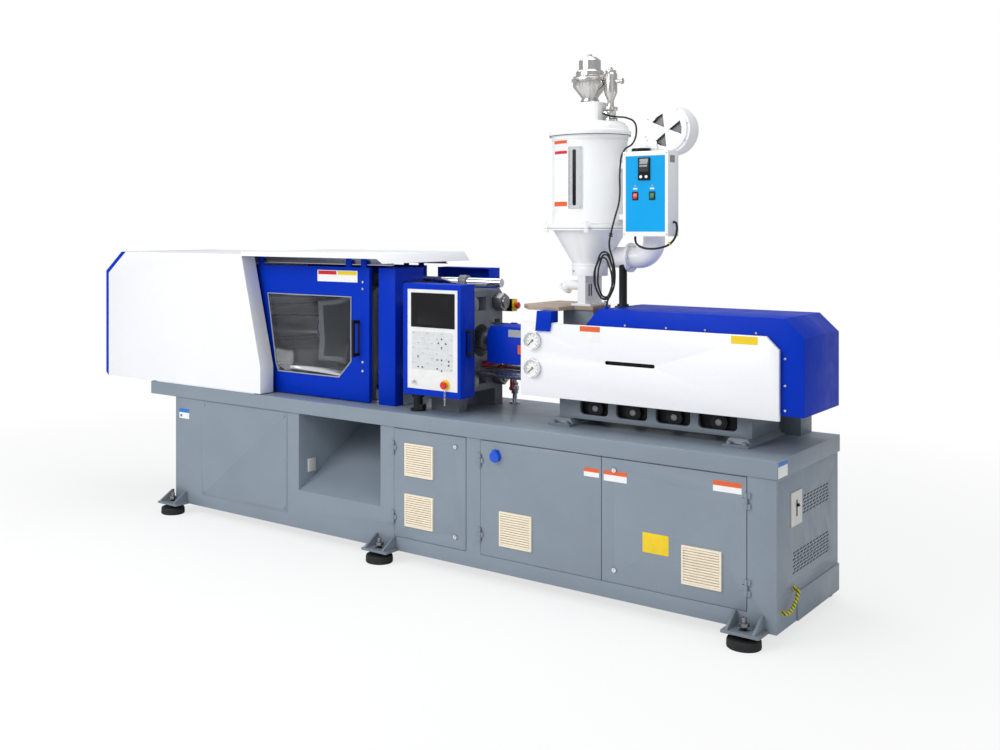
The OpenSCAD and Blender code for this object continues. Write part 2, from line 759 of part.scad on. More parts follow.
// Quarter-turn lock: head with its key slot, barrel through the door and the cam behind it
module lock(x, z) color(bright_steel) {
    difference() {
        union() {
            rod_y(x, -door_front - 8, -door_front - 0.3, z, lock_r + 3);
            rod_y(x, -door_front - 1, -door_front + door_depth - 3, z, lock_r);
        }
        block([x - 1.5, -door_front - 9, z - 7], [x + 1.5, -door_front - 4, z + 7]);
    }
    block([x - lock_r, -door_front + door_depth - 6, z - 8], [x + 26, -door_front + door_depth - 3, z + 8]);
}
module left_upper_lock() { lock(left_lock_x, lock_zs[1]); }
module left_lower_lock() { lock(left_lock_x, lock_zs[0]); }
module right_upper_lock() { lock(right_lock_x, lock_zs[1]); }
module right_lower_lock() { lock(right_lock_x, lock_zs[0]); }

// Tie bar places round the centre line, and the corners of a hole rectangle
function tie_places() = [for (y = [-tie_y, tie_y], z = [-tie_z, tie_z]) [y, axis_z + z]];
function corners(dy, dz) = [for (y = [-dy / 2, dy / 2], z = [-dz / 2, dz / 2]) [y, axis_z + z]];

// Blank of a platen casting: plate with chamfered corners, and two legs to z0
module platen_blank(x0, x1, half_w, leg_in, z0) {
    c = 28;
    h = platen_half_h;
    prism_x([[-half_w + c, axis_z - h], [half_w - c, axis_z - h], [half_w, axis_z - h + c],
        [half_w, axis_z + h - c], [half_w - c, axis_z + h], [-half_w + c, axis_z + h],
        [-half_w, axis_z + h - c], [-half_w, axis_z - h + c]], x0, x1);
    both_sides() block([x0, -half_w, z0], [x1, -leg_in, axis_z - h + c]);
}

// Mould bolt holes, two rectangles
module mould_holes(x0, x1) {
    for (p = concat(corners(mould_dy, mould_dz), corners(mould_dy, mould_dz / 2)))
        rod_x(x0, x1, p[0], p[1], mould_r);
}

module fixed_platen() color(platen_grey) {
    difference() {
        platen_blank(fixed_x0, platen_x, fixed_half_w, 150, top_z);
        for (p = tie_places()) rod_x(fixed_x0 - 1, platen_x + 1, p[0], p[1], tie_r);
        rod_x(fixed_x0 - 1, fixed_x0 + ring_t, 0, axis_z, ring_r);
        rod_x(fixed_x0, platen_x, 0, axis_z, 44);
        translate([fixed_x0 + 70, 0, axis_z]) rotate([0, 90, 0]) cylinder(h = fixed_t, r1 = 62, r2 = 118);
        mould_holes(fixed_x0 - 1, fixed_x0 + 42);
        for (s = [-1, 1]) {
            block([platen_x - 90, -55, axis_z + s * 220 - 42], [platen_x + 1, 55, axis_z + s * 220 + 42]);
            block([platen_x - 90, s * 178 - 30, axis_z - 120], [platen_x + 1, s * 178 + 30, axis_z + 120]);
        }
    }
    difference() {
        union() {
            block([fixed_x0 + 10, safety_y - safety_r - 14, axis_z + platen_half_h],
                [fixed_x0 + 64, safety_y + safety_r + 14, axis_z + safety_z]);
            rod_x(fixed_x0 + 10, fixed_x0 + 64, safety_y, axis_z + safety_z, safety_r + 14);
        }
        rod_x(fixed_x0, fixed_x0 + 80, safety_y, axis_z + safety_z, safety_r + fit);
    }
}

// Cylinder platen with the clamp cylinder cast on its back
module cylinder_platen() color(platen_grey) {
    difference() {
        union() {
            platen_blank(rear_x0, rear_x, fixed_half_w, 150, top_z);
            rod_x(cyl_x0, rear_x0 + 1, 0, axis_z, cyl_r);
            rod_x(rear_x0 - 40, rear_x0 + 1, 0, axis_z, cyl_r + 24);
            rod_x(cyl_x0, cyl_x0 + 46, 0, axis_z, cyl_r + 18);
        }
        for (p = tie_places()) rod_x(rear_x0 - 50, rear_x + 1, p[0], p[1], tie_r);
        rod_x(cyl_x0 + 46, rear_x0 - 40, 0, axis_z, cyl_bore_r);
        rod_x(rear_x0 - 41, rear_x + 1, 0, axis_z, ram_r + fit);
    }
}

// Four tie bars with their end nuts
module tie_bars() color(bright_steel) {
    for (p = tie_places()) {
        rod_x(rear_x0 - nut_t - 12, platen_x + nut_t + 12, p[0], p[1], tie_r);
        for (x = [rear_x0 - nut_t, platen_x])
            translate([x, p[0], p[1]]) rotate([0, 90, 0]) cylinder(h = nut_t, r = nut_r, $fn = 6);
    }
}

strip_y0 = drop_w / 2 + 6;
strip_y1 = moving_half_w + 4;
ledge_z = rail_z;
ledge_t = 6;

// Slide strips of the moving platen, rails of the safety doors, carriage rods, nozzle guard's hinge rod
module guide_rails() color(bright_steel) {
    both_sides() {
        block([hub_x0 - clamp_stroke, -strip_y1, top_z], [mover_x1 + 60, -strip_y0, top_z + strip_h]);
        block([lean_x0 - guard_travel - 160, -guard_y + guard_t - 8, ledge_z - ledge_t],
            [post_x + 110, -guard_y + guard_t - 2, cover_top - cover_sheet]);
        block([lean_x0 - guard_travel - 160, -guard_y + 8, ledge_z - ledge_t],
            [post_x + 110, -guard_y + guard_t - 8, ledge_z]);
        rod_x(platen_x, cast_x1 - 20, -carriage_rod_y, rod_level, carriage_rod_r);
    }
    rod_x(platen_x, nozzle_guard_x + nozzle_guard_l + 12, flap_pin_y, flap_pin_z, flap_pin_r);
}

module moving_platen() color(platen_grey) {
    cave = hub_half - 25;
    difference() {
        union() {
            platen_blank(mover_x0, mover_x1, moving_half_w, strip_y0 + 0.3, top_z + strip_h + 0.3);
            block([hub_x0, -hub_half, axis_z - hub_half], [mover_x0 + 1, hub_half, axis_z + hub_half]);
        }
        for (p = tie_places()) rod_x(mover_x0 - 1, mover_x1 + 1, p[0], p[1], tie_r + fit);
        block([hub_x0 + hub_t, -hub_half - 1, axis_z - cave], [mover_x0 - hub_t, hub_half + 1, axis_z + cave]);
        for (p = corners(140, 140)) rod_x(mover_x0 - hub_t - 1, mover_x1 + 1, p[0], p[1], eject_rod_r + fit);
        mould_holes(mover_x1 - 42, mover_x1 + 1);
    }
    rod_x(hub_x0 + hub_t, hub_x0 + hub_t + 34, 0, axis_z, 46);
    difference() {
        block([mover_x0 + 30, safety_y - safety_r - 12, axis_z + platen_half_h],
            [mover_x0 + 120, safety_y + safety_r + 12, axis_z + safety_z + safety_r + 10]);
        rod_x(mover_x0 + 30, mover_x0 + 121, safety_y, axis_z + safety_z, safety_r);
    }
}

// Clamp ram with its piston and flange, and the safety rod that travels with the platen
module clamp_ram() color([0.85, 0.86, 0.88]) {
    rod_x(piston_x, hub_x0, 0, axis_z, ram_r);
    rod_x(piston_x, piston_x + 60, 0, axis_z, cyl_bore_r - fit);
    rod_x(hub_x0 - 34, hub_x0, 0, axis_z, ram_r + 32);
    rod_x(mover_x0 + 30, safety_x1, safety_y, axis_z + safety_z, safety_r);
}

// Ejector plate with its four rods
module ejector() color([0.7, 0.72, 0.74]) {
    block([eject_x, -110, axis_z - 110], [eject_x + 28, 110, axis_z + 110]);
    for (p = corners(140, 140)) rod_x(eject_x, mover_x1 - 1, p[0], p[1], eject_rod_r);
    rod_x(hub_x0 + hub_t + 34.3, eject_x, 0, axis_z, 18);
}

// Clamp cover outline, its end band and the slanted edge towards the mould space
cover_z0 = top_z + 5;
chamfer_z = top_z + 772;
chamfer_x = cover_x0 + 178;
white_z = chamfer_z - 14.5;
white_x = chamfer_x + 48;

module clamp_cover() color(panel_white) {
    t = cover_sheet;
    xl = cover_x0 + end_lip;
    difference() {
        prism_y([[xl, cover_z0], [xl, white_z], [white_x, cover_top], [lean_x0, cover_top],
            [lean_x1, lean_z], [lean_x1, cover_z0]], -table_y, table_y);
        prism_y([[xl - 9, cover_z0 - 1], [xl - 9, white_z + 9], [white_x - 9, cover_top - t],
            [lean_x0 - t, cover_top - t], [lean_x0 + 99, cover_top - t], [lean_x1 + 9, lean_z],
            [lean_x1 + 9, cover_z0 - 1]], -table_y + t, table_y - t);
    }
    both_sides() {
        prism_y([[lean_x0, cover_top], [lean_x1, lean_z], [lean_x1, cover_z0], [lean_x1 - t, cover_z0],
            [lean_x1 - t, lean_z], [lean_x0 - t, cover_top]], -table_y, -table_y + cover_return);
        block([table_x0 + 60, -table_y + t, top_z], [lean_x1 - 60, -table_y + 3 * t, cover_z0 + 30]);
    }
    // Shade over the mould space
    difference() {
        prism_y([[lean_x0, shade_top - shade_h], [lean_x0, shade_top], [shade_x1, shade_top],
            [shade_x1 + 46, shade_top - 58], [shade_x1 + 40, shade_top - 58],
            [shade_x1 - 6, shade_top - shade_h]], -table_y, table_y);
        prism_y([[lean_x0 + t, shade_top - shade_h - 40], [lean_x0 + t, shade_top - t],
            [shade_x1 - 4, shade_top - t], [shade_x1 + 44, shade_top - 64], [shade_x1, shade_top - 70]],
            -table_y + t, table_y - t);
        both_sides() block([lean_x0 - 1, -guard_y + guard_t - 8, shade_top - shade_h - 1],
            [lean_x0 + t + 1, -guard_y + guard_t - 2, cover_top - t]);
    }
    both_sides() block([lean_x0, -guard_y + guard_t - 8, cover_top - t],
        [post_x + 110, -guard_y + guard_t - 2, shade_top - t]);
}

// Blue sheet guards: end cover of the clamp, post with its crown, rear guard
module fixed_guards() color(blue_paint) {
    t = cover_sheet;
    difference() {
        prism_y([[cover_x0, cover_z0 + 22], [cover_x0, chamfer_z], [chamfer_x, cover_top], [white_x, cover_top],
            [cover_x0 + end_lip, white_z], [cover_x0 + end_lip, cover_z0], [cover_x0 + 22, cover_z0]],
            -table_y, table_y);
        prism_y([[cover_x0 + t, cover_z0 + 20], [cover_x0 + t, chamfer_z - 2], [chamfer_x + 2, cover_top - t],
            [white_x + 9, cover_top - t], [cover_x0 + end_lip + 9, white_z], [cover_x0 + end_lip + 9,
            cover_z0 - 9], [cover_x0 + 24, cover_z0 - 9]], -table_y + t, table_y - t);
    }
    // Post and crown
    difference() {
        union() {
            block([post_x, post_y1, top_z], [post_x + post_w, post_y1 + post_d, guard_top]);
            block([post_x, post_y1, guard_top - 84], [post_x + post_w, 5, guard_top]);
        }
        block([post_x + t, post_y1 + t, top_z - 1], [post_x + post_w - t, post_y1 + post_d + 1, guard_top - t]);
        block([post_x + t, post_y1 + t, guard_top - 85], [post_x + post_w - t, 5 - t, guard_top - t]);
    }
    // Rear guard beside the fixed platen
    difference() {
        block([post_x, guard_y + 30, top_z], [fixed_x0 + 40, table_y - 4, guard_top - 10]);
        block([post_x + t, guard_y + 29, top_z - 1], [fixed_x0 + 40 - t, table_y - 4 - t, guard_top - 10 - t]);
    }
}

// Outline of a sliding door in X and Z: slanted towards the clamp cover
door_lean = 60;
function guard_outline(d) = [[lean_x0 - door_lean - 12 + d, guard_top - d], [guard_x1 - d, guard_top - d],
    [guard_x1 - d, top_z + 7 + d], [lean_x1 - door_lean - 12 + d * 1.3, top_z + 7 + d],
    [lean_x1 - door_lean - 12 + d * 1.3, lean_z]];
window_points = [[-1003, axis_z + 246], [-277, axis_z + 246], [-277, axis_z - 158], [-377, axis_z - 264],
    [-905, axis_z - 264], [-929, axis_z - 205]];

// Folded door shell with two roller hangers
module guard_door(cut_window) {
    difference() {
        prism_y(guard_outline(0), -guard_y, -guard_y + guard_t);
        prism_y(guard_outline(14), -guard_y + 3, -guard_y + guard_t + 1);
        if (cut_window) prism_y(window_points, -guard_y - 1, -guard_y + 4);
    }
    for (x = [lean_x0 + 30, -300, -176]) {
        block([x - 22, -guard_y, guard_top - 10], [x + 22, -guard_y + 5, rail_z + 34]);
        rod_y(x, -guard_y + 4, -guard_y + guard_t - 9, rail_z + 15.3, 15);
    }
}

module front_safety_door() color(blue_paint) {
    guard_door(true);
    hx = -216;
    for (z = [axis_z - 110, axis_z + 94]) rod_y(hx, -guard_y - 52, -guard_y, z, handle_r);
    rod_z(hx, -guard_y - 52, axis_z - 124, axis_z + 108, handle_r);
}
module rear_safety_door() color(blue_paint) mirror([0, 1, 0]) guard_door(false);

// Clear pane behind the window opening
module front_door_window() color([0.6, 0.65, 0.68, 0.4]) {
    grown = [for (p = window_points) [p[0] + (p[0] > -640 ? 18 : -18), p[1] + (p[1] > axis_z ? 18 : -18)]];
    prism_y(grown, -guard_y + 3, -guard_y + 3 + window_t);
}

// Pedestal of the control box: foot, column, elbow and the pivot pin
module control_pedestal() color([0.12, 0.12, 0.13]) {
    rod_z(pivot_x, pivot_y, top_z, top_z + 12, 46);
    rod_z(pivot_x, pivot_y, top_z, box_z0 - 24, 27);
    rod_z(pivot_x, pivot_y, box_z0 - 24, box_z0 - 0.3, 38);
    rod_z(pivot_x, pivot_y, box_z0 - 1, box_z0 + 34, 14);
    block([pivot_x, pivot_y - 18, top_z + 12], [pivot_x + 46, pivot_y + 18, top_z + 40]);
}

hinge_box_z = [box_z0 + 110, box_top - 120];
box_hinge_x = box_x - 8;

// Control box: folded shell with pivot boss and side handle
module control_box() {
    color(blue_paint) {
        difference() {
            block([box_x, panel_y + 0.3, box_z0], [box_x1, box_back, box_top]);
            block([box_x + 3, panel_y, box_z0 + 3], [box_x1 - 3, box_back - 3, box_top - 3]);
            rod_z(pivot_x, pivot_y, box_z0 - 1, box_z0 + 4, 14 + fit);
        }
        difference() {
            rod_z(pivot_x, pivot_y, box_z0 + 2, box_z0 + 46, 26);
            rod_z(pivot_x, pivot_y, box_z0 + 1, box_z0 + 38, 14 + fit);
        }
    }
    color([0.08, 0.08, 0.09]) {
        hz = [box_top - 404, box_top - 268];
        for (z = hz) rod_x(box_x1, box_x1 + 42, panel_y + 46, z, 9);
        rod_z(box_x1 + 42, panel_y + 46, hz[0] - 10, hz[1] + 10, 9);
        for (z = hinge_box_z, e = [-26, 10.3]) {
            rod_z(box_hinge_x, panel_y + 6, z + e, z + e + 15.7, 7);
            block([box_hinge_x, panel_y + 1, z + e], [box_x, panel_y + 11, z + e + 15.7]);
        }
        for (z = hinge_box_z) rod_z(box_hinge_x, panel_y + 6, z - 26, z + 26, 2.5);
    }
}

screen_x = box_x + 59;
screen_z = box_top - 52 - screen_h;

// Control box door: frame, white front plate, screen bezel, keys, collars of stop and key
module control_panel() {
    front = -box_y;
    color(blue_paint) {
        difference() {
            block([box_x, front, box_z0], [box_x1, panel_y, box_top]);
            block([box_x + 33, front - 1, box_z0 + 37], [box_x1 - 22, front + 3, box_top - 32]);
            block([screen_x + 40, front, screen_z + 20], [screen_x + screen_w - 40, panel_y - 3,
                screen_z + screen_h - 20]);
            rod_y(stop_x, front - 1, panel_y + 1, stop_z, 8 + fit);
            rod_y(key_x, front - 1, panel_y + 1, stop_z, 7 + fit);
        }
        for (z = hinge_box_z) difference() {
            union() {
                rod_z(box_hinge_x, panel_y + 6, z - 10, z + 10, 7);
                block([box_hinge_x, panel_y - 8, z - 10], [box_x + 1, panel_y - 1, z + 10]);
                block([box_hinge_x, panel_y - 8, z - 10], [box_x - 0.4, panel_y + 4, z + 10]);
            }
            rod_z(box_hinge_x, panel_y + 6, z - 11, z + 11, 2.5 + fit);
        }
    }
    color([0.95, 0.96, 0.96]) difference() {
        block([box_x + 33, front + 0.5, box_z0 + 37], [box_x1 - 22, front + 3, box_top - 32]);
        rod_y(stop_x, front - 1, front + 4, stop_z, 8 + fit);
        rod_y(key_x, front - 1, front + 4, stop_z, 7 + fit);
    }
    color([0.05, 0.05, 0.06]) difference() {
        block([screen_x, front - 2, screen_z], [screen_x + screen_w, front + 0.5, screen_z + screen_h]);
        block([screen_x + 44, front - 3, screen_z + 22], [screen_x + screen_w - 44, front - 0.5,
            screen_z + screen_h - 22]);
    }
    color([0.86, 0.88, 0.88]) for (i = [0:8], k = [0:7])
        block([screen_x + 6 + i * 34, front - 0.6, screen_z - 44 - k * 29],
            [screen_x + 30 + i * 34, front + 0.5, screen_z - 24 - k * 29]);
    color(signal_yellow) difference() {
        rod_y(stop_x, front - 5, front + 0.5, stop_z, stop_r + 8);
        rod_y(stop_x, front - 6, front + 1, stop_z, 8 + fit);
    }
    color([0.75, 0.76, 0.78]) difference() {
        rod_y(key_x, front - 6, front + 0.5, stop_z, 13);
        rod_y(key_x, front - 7, front + 1, stop_z, 7 + fit);
    }
}

// Mushroom head on its stem, pointing along +X
module stop_head(x, y, z, turn) {
    translate([x, y, z]) rotate([0, 0, turn]) rotate([0, 90, 0]) {
        translate([0, 0, -14]) cylinder(h = 28, r = 8);
        translate([0, 0, stop_travel + 5.5]) rotate_extrude()
            polygon([[0, 0], [14, 0], [stop_r, 8], [stop_r, 16], [stop_r - 5, 22], [0, 25]]);
    }
}

module panel_stop() color(stop_red) stop_head(stop_x, -box_y, stop_z, -90);
module key_switch() color([0.7, 0.71, 0.73]) {
    rod_y(key_x, -box_y - 10, -box_y + 10, stop_z, 7);
    block([key_x - 1.2, -box_y - 32, stop_z - 10], [key_x + 1.2, -box_y - 9, stop_z + 10]);
}

breaker_y = -186;
breaker_z = base_top - 179;
breaker_pivot = base_x1 - 32;
stop2 = [platen_x + 70, fixed_half_w + 31, axis_z + 201];

// Electrical boxes and plates fixed to the bed: breaker, chute socket, stop box, mounting plate
module electrical_boxes() {
    color([0.88, 0.84, 0.76]) {
        difference() {
            union() {
                block([base_x1, breaker_y - 74, breaker_z - 82], [base_x1 + 5, breaker_y + 74, breaker_z + 82]);
                block([base_x1 - 60, breaker_y - 30, breaker_z - 45], [base_x1, breaker_y + 30, breaker_z + 45]);
            }
            block([base_x1 - 50, breaker_y - 8, breaker_z - 40], [base_x1 + 6, breaker_y + 8, breaker_z + 40]);
            rod_y(breaker_pivot, breaker_y - 20, breaker_y + 20, breaker_z, 3 + fit);
        }
        block([chute_x, -363, chute_z + 109], [chute_x + 12, -297, chute_z + 191]);
    }
    color(black_plastic) difference() {
        block([platen_x - 48, fixed_half_w, stop2[2] - 37], [stop2[0], fixed_half_w + 62, stop2[2] + 37]);
        rod_x(stop2[0] - 30, stop2[0] + 1, stop2[1], stop2[2], 8 + fit);
    }
    color(signal_yellow) difference() {
        rod_x(stop2[0], stop2[0] + 5, stop2[1], stop2[2], stop_r + 8);
        rod_x(stop2[0] - 1, stop2[0] + 6, stop2[1], stop2[2], 8 + fit);
    }
    // Mounting plate with drives and contactors behind the two wide doors
    color([0.8, 0.8, 0.78]) {
        plate_y = base_y - base_sheet - 40;
        block([door_b_x + 60, plate_y, door_z + 30], [door_c_x + door_c_w - 60, plate_y + 4, door_top - 60]);
        for (x = [door_b_x + 90, door_c_x + door_c_w - 120], z = [door_z + 60, door_top - 100])
            block([x, plate_y + 4, z], [x + 30, base_y, z + 30]);
        block([door_b_x + 120, plate_y - 210, door_z + 90], [door_b_x + 420, plate_y, door_top - 150]);
        for (i = [0:6])
            block([door_c_x + i * 84, plate_y - 90, door_top - 210], [door_c_x + i * 84 + 60, plate_y, door_top - 110]);
        for (i = [0:8])
            block([door_c_x + i * 64, plate_y - 70, door_z + 170], [door_c_x + i * 64 + 46, plate_y, door_z + 260]);
    }
}

module breaker_handle() color(black_plastic)
    translate([breaker_pivot, breaker_y, breaker_z]) rotate([0, -20, 0]) {
        rotate([90, 0, 0]) translate([0, 0, -18]) cylinder(h = 36, r = 3);
        translate([0, -7, -7]) cube([52, 14, 14]);
    }

module platen_stop() color(stop_red) stop_head(stop2[0], stop2[1], stop2[2], 0);

// Oil tank in the left bay, motor and pump beside the chute
module power_unit() color([0.35, 0.38, 0.42]) {
    floor_z = floor_gap + base_sheet;
    difference() {
        block([base_x0 + 60, -300, floor_z], [chute_x - 110, 300, floor_z + 360]);
        block([base_x0 + 66, -294, floor_z + 6], [chute_x - 116, 294, floor_z + 340]);
    }
    rod_z(base_x0 + 200, -180, floor_z + 360, floor_z + 420, 48);
    mx = chute_x1 + 340;
    mz = floor_z + 150;
    rod_y(mx, -190, 130, mz, 105);
    rod_y(mx, 130, 170, mz, 80);
    rod_y(mx, 170, 320, mz, 62);
    for (i = [0:9]) rod_y(mx, -170 + i * 28, -160 + i * 28, mz, 112);
    block([mx - 100, -160, floor_z], [mx + 100, -120, mz - 60]);
    block([mx - 100, 60, floor_z], [mx + 100, 100, mz - 60]);
}

valve_x = platen_x + 55;
valve_y = 291;
lever_y = valve_y - 42;
lever_z = top_z + 96;

// Standing valve with its manifold
module valve_block() color([0.76, 0.77, 0.79]) {
    rod_z(valve_x, valve_y, top_z, top_z + 10, 34);
    rod_z(valve_x, valve_y, top_z, top_z + 182, 14);
    translate([valve_x, valve_y, lever_z - 34]) cylinder(h = 14, r = 24, $fn = 6);
    translate([valve_x, valve_y, lever_z + 20]) cylinder(h = 14, r = 24, $fn = 6);
    translate([valve_x, valve_y, lever_z]) sphere(r = 27);
    rod_y(valve_x, lever_y - 8, valve_y, lever_z, 6);
    block([valve_x - 38, valve_y - 29, top_z + 182], [valve_x + 38, valve_y + 29, top_z + 252]);
}
module valve_lever() color(stop_red) difference() {
    union() {
        rod_y(valve_x, lever_y - 5, lever_y + 5, lever_z, 13);
        block([valve_x - 8, lever_y - 3, lever_z], [valve_x + 8, lever_y + 3, lever_z + 82]);
    }
    rod_y(valve_x, lever_y - 9, lever_y + 9, lever_z, 6 + fit);
}

// Two hoses from platen to valve, earth cable with its grommet and lug
module hoses_and_cables() {
    color([0.85, 0.06, 0.08]) for (dz = [0, 29])
        swept([for (p = hose_route) p + [0, 0, dz]], 11, 8);
    color([0.85, 0.85, 0.1]) {
        swept(earth_route, 9, 8);
        for (p = [earth_route[0], earth_route[len(earth_route) - 1]])
            rod_x(base_x1, base_x1 + 5, p[1], p[2], 14);
    }
}

beam_xs = [base_cast_x + 33, cast_x1 - 59];

// Cross beams with bolted feet under the injection base, and the grey box behind it
module injection_supports() color(base_grey) {
    for (x = beam_xs) {
        prism_y([[x - 66, top_z], [x + 66, top_z], [x + 66, top_z + 12], [x + 48, beam_top], [x - 48, beam_top],
            [x - 66, top_z + 12]], -215, 215);
        both_sides() {
            block([x - 66, -256, top_z], [x + 66, -215, top_z + 14]);
            for (s = [-40, 40]) translate([x + s, -236, top_z + 14]) cylinder(h = 14, r = 13, $fn = 6);
        }
    }
    block([cast_x1 - 65, 284, top_z], [cast_x1 + 80, table_y - 4, top_z + 130]);
}

cast_windows = [[128, 170], [346, 181], [575, 191], [809, 206]];

// Cast base of the injection unit with rounded windows and the rod brackets
module injection_base() color(base_grey) {
    t = base_cast_t;
    difference() {
        block([base_cast_x, -base_cast_half, beam_top], [cast_x1, base_cast_half, cast_top]);
        block([base_cast_x + t, -base_cast_half + t, beam_top - 1], [cast_x1 - t, base_cast_half - t, cast_top - t]);
        block([base_cast_x + 150, -80, cast_top - t - 1], [cast_x1 - 140, 80, cast_top + 1]);
        for (w = cast_windows)
            soft_y(base_cast_x + w[0], base_cast_x + w[0] + w[1], beam_top + 26, cast_top - 24, 26,
                -base_cast_half - 1, base_cast_half + 1);
    }
    for (x = [base_cast_x, cast_x1 - 66]) both_sides() difference() {
        block([x, -carriage_rod_y - 42, cast_top], [x + 46, -carriage_rod_y + 42, rod_level + carriage_rod_r + 6]);
        rod_x(x - 1, x + 47, -carriage_rod_y, rod_level, carriage_rod_r);
    }
}

saddle_z0 = rod_level + carriage_rod_r + 8;
saddle_z1 = saddle_z0 + 20;
hood_in = hood_half - cover_sheet;
inject_y = 150;
inject_r = 46;

// Feed housing on its saddle, with the two injection cylinders
module injection_housing() color(platen_grey) {
    difference() {
        union() {
            block([feed_x, -hood_in, saddle_z0], [feed_x + 960, hood_in, saddle_z1]);
            block([feed_x, -95, saddle_z1], [feed_x + feed_l, 95, seat_low]);
            block([feed_x + feed_l - 44, -210, axis_z - 58], [feed_x + feed_l, 210, axis_z + 58]);
            both_sides() for (x = [feed_x + 140, feed_x + 690])
                block([x, -carriage_rod_y - 38, rod_level - 36], [x + 90, -carriage_rod_y + 38, saddle_z0]);
            both_sides() rod_x(feed_x + feed_l, feed_x + 520, -inject_y, axis_z, inject_r);
        }
        rod_x(feed_x - 1, feed_x + feed_l + 1, 0, axis_z, barrel_r);
        rod_z(hopper_x, 0, axis_z, seat_low + 1, feed_r);
        both_sides() {
            rod_x(feed_x + 100, feed_x + 900, -carriage_rod_y, rod_level, carriage_rod_r + fit);
            rod_x(feed_x + feed_l + 40, feed_x + 500, -inject_y, axis_z, inject_r - 8);
            rod_x(feed_x + 499, feed_x + 521, -inject_y, axis_z, 20 + fit);
        }
    }
    both_sides() block([feed_x + 40, -side_y + 5, saddle_z0], [feed_x + 80, -hood_in, saddle_z1]);
}

// Barrel with nozzle and heater bands
module barrel() color([0.62, 0.63, 0.65]) {
    difference() {
        union() {
            translate([nozzle_x, 0, axis_z]) rotate([0, 90, 0]) rotate_extrude()
                polygon([[0, 0], [9, 0], [16, 8], [24, 40], [34, 46], [34, 76], [46, 92], [46, 130], [0, 130]]);
            rod_x(nozzle_x + 120, feed_x + feed_l, 0, axis_z, barrel_r);
            for (i = [0:5]) rod_x(platen_x + 20 + i * 98, platen_x + 98 + i * 98, 0, axis_z, barrel_r + 13);
            for (i = [0:5]) block([platen_x + 44 + i * 98, -16, axis_z + barrel_r + 6],
                [platen_x + 74 + i * 98, 16, axis_z + barrel_r + 30]);
        }
        rod_x(nozzle_x + 110, feed_x + feed_l + 1, 0, axis_z, barrel_bore_r);
        rod_x(nozzle_x - 1, nozzle_x + 111, 0, axis_z, 4);
        rod_z(hopper_x, 0, axis_z, axis_z + barrel_r + 1, feed_r - 2);
    }
}

screw_r = barrel_bore_r - fit;
screw_tip = nozzle_x + 114;
flight_l = hopper_x + 40 - screw_tip - 44;
pitch = 2 * barrel_bore_r;

// Screw: tip, flights wound round the root, and the shank in the thrust bearing
module screw() color([0.8, 0.81, 0.83]) {
    root = screw_r - 7;
    translate([screw_tip, 0, axis_z]) rotate([0, 90, 0]) {
        cylinder(h = 36, r1 = 3, r2 = screw_r - 3);
        translate([0, 0, 36]) cylinder(h = 8, r = screw_r);
        translate([0, 0, 44]) linear_extrude(flight_l, twist = -360 * flight_l / pitch,
            slices = round(7 * flight_l / pitch), $fn = 12)
            polygon([for (i = [0:11]) let (a = i * 30, r = i < 2 ? screw_r - 0.3 : root)
                [r * cos(a), r * sin(a)]]);
        translate([0, 0, 44 + flight_l]) cylinder(h = thrust_x + 60 - screw_tip - 44 - flight_l, r = screw_r);
    }
}

// Thrust block with pistons, rods and the screw's hydraulic motor
module thrust_block() color([0.4, 0.42, 0.45]) {
    difference() {
        union() {
            block([thrust_x, -205, axis_z - 56], [thrust_x + 70, 205, axis_z + 56]);
            rod_x(thrust_x + 70, thrust_x + 120, 0, axis_z, 90);
            rod_x(thrust_x + 120, thrust_x + 250, 0, axis_z, 74);
        }
        rod_x(thrust_x - 1, thrust_x + 60, 0, axis_z, barrel_bore_r);
    }
    both_sides() {
        rod_x(feed_x + feed_l + 60, thrust_x, -inject_y, axis_z, 20);
        rod_x(feed_x + feed_l + 50, feed_x + feed_l + 84, -inject_y, axis_z, inject_r - 8 - fit);
    }
}

flap_pin_y = nozzle_guard_half + 12;
flap_pin_z = guard_z1 - 6;
flap_pin_r = 7;

// Folded nozzle guard with the knuckles on its hinge rod
module nozzle_guard() color(blue_paint) {
    h = nozzle_guard_half;
    t = cover_sheet;
    x0 = nozzle_guard_x;
    x1 = nozzle_guard_x + nozzle_guard_l;
    difference() {
        union() {
            prism_x([[-h, guard_z0], [-h, guard_z1 - 44], [-h + 34, guard_z1], [h, guard_z1], [h, guard_z1 - 40],
                [h - t, guard_z1 - 40], [h - t, guard_z1 - t], [-h + 36, guard_z1 - t],
                [-h + t, guard_z1 - 46], [-h + t, guard_z0]], x0, x1);
            for (x = [x0 + 10, x1 - 50]) {
                rod_x(x, x + 40, flap_pin_y, flap_pin_z, flap_pin_r + 5);
                block([x, h - 1, flap_pin_z - 6], [x + 40, flap_pin_y, flap_pin_z + 6]);
            }
        }
        rod_x(x0 - 1, x1 + 1, flap_pin_y, flap_pin_z, flap_pin_r + fit);
    }
}

hood_points = [[hood_x, hood_z0], [hood_x, side_z1 + 5], [hood_x + 72, hood_top], [hood_end - 96, hood_top],
    [hood_end, hood_top - 92], [hood_end, hood_z0]];

// Blue cover over the injection unit, lead gland, and the lug under the mounting plate
module injection_cover() color(blue_paint) {
    t = cover_sheet;
    difference() {
        prism_y(hood_points, -hood_half, hood_half);
        prism_y([[hood_x - 9, hood_z0 - 1], [hood_x - 9, side_z1 + 5], [hood_x + 40, hood_top - t],
            [hood_end - 98, hood_top - t], [hood_end - t, hood_top - 94], [hood_end - t, hood_z0 - 1]],
            -hood_in, hood_in);
    }
    rod_z(1440, -188, hood_top, hood_top + 12, 12);
    prism_y([[1062, side_z1 - 44], [1072, seat_low], [1168, seat_low], [1150, side_z1 - 44]],
        -side_y - 16, -side_y);
    block([1076, -side_y, side_z1 + 3], [1164, -side_y + 60, seat_low]);
}

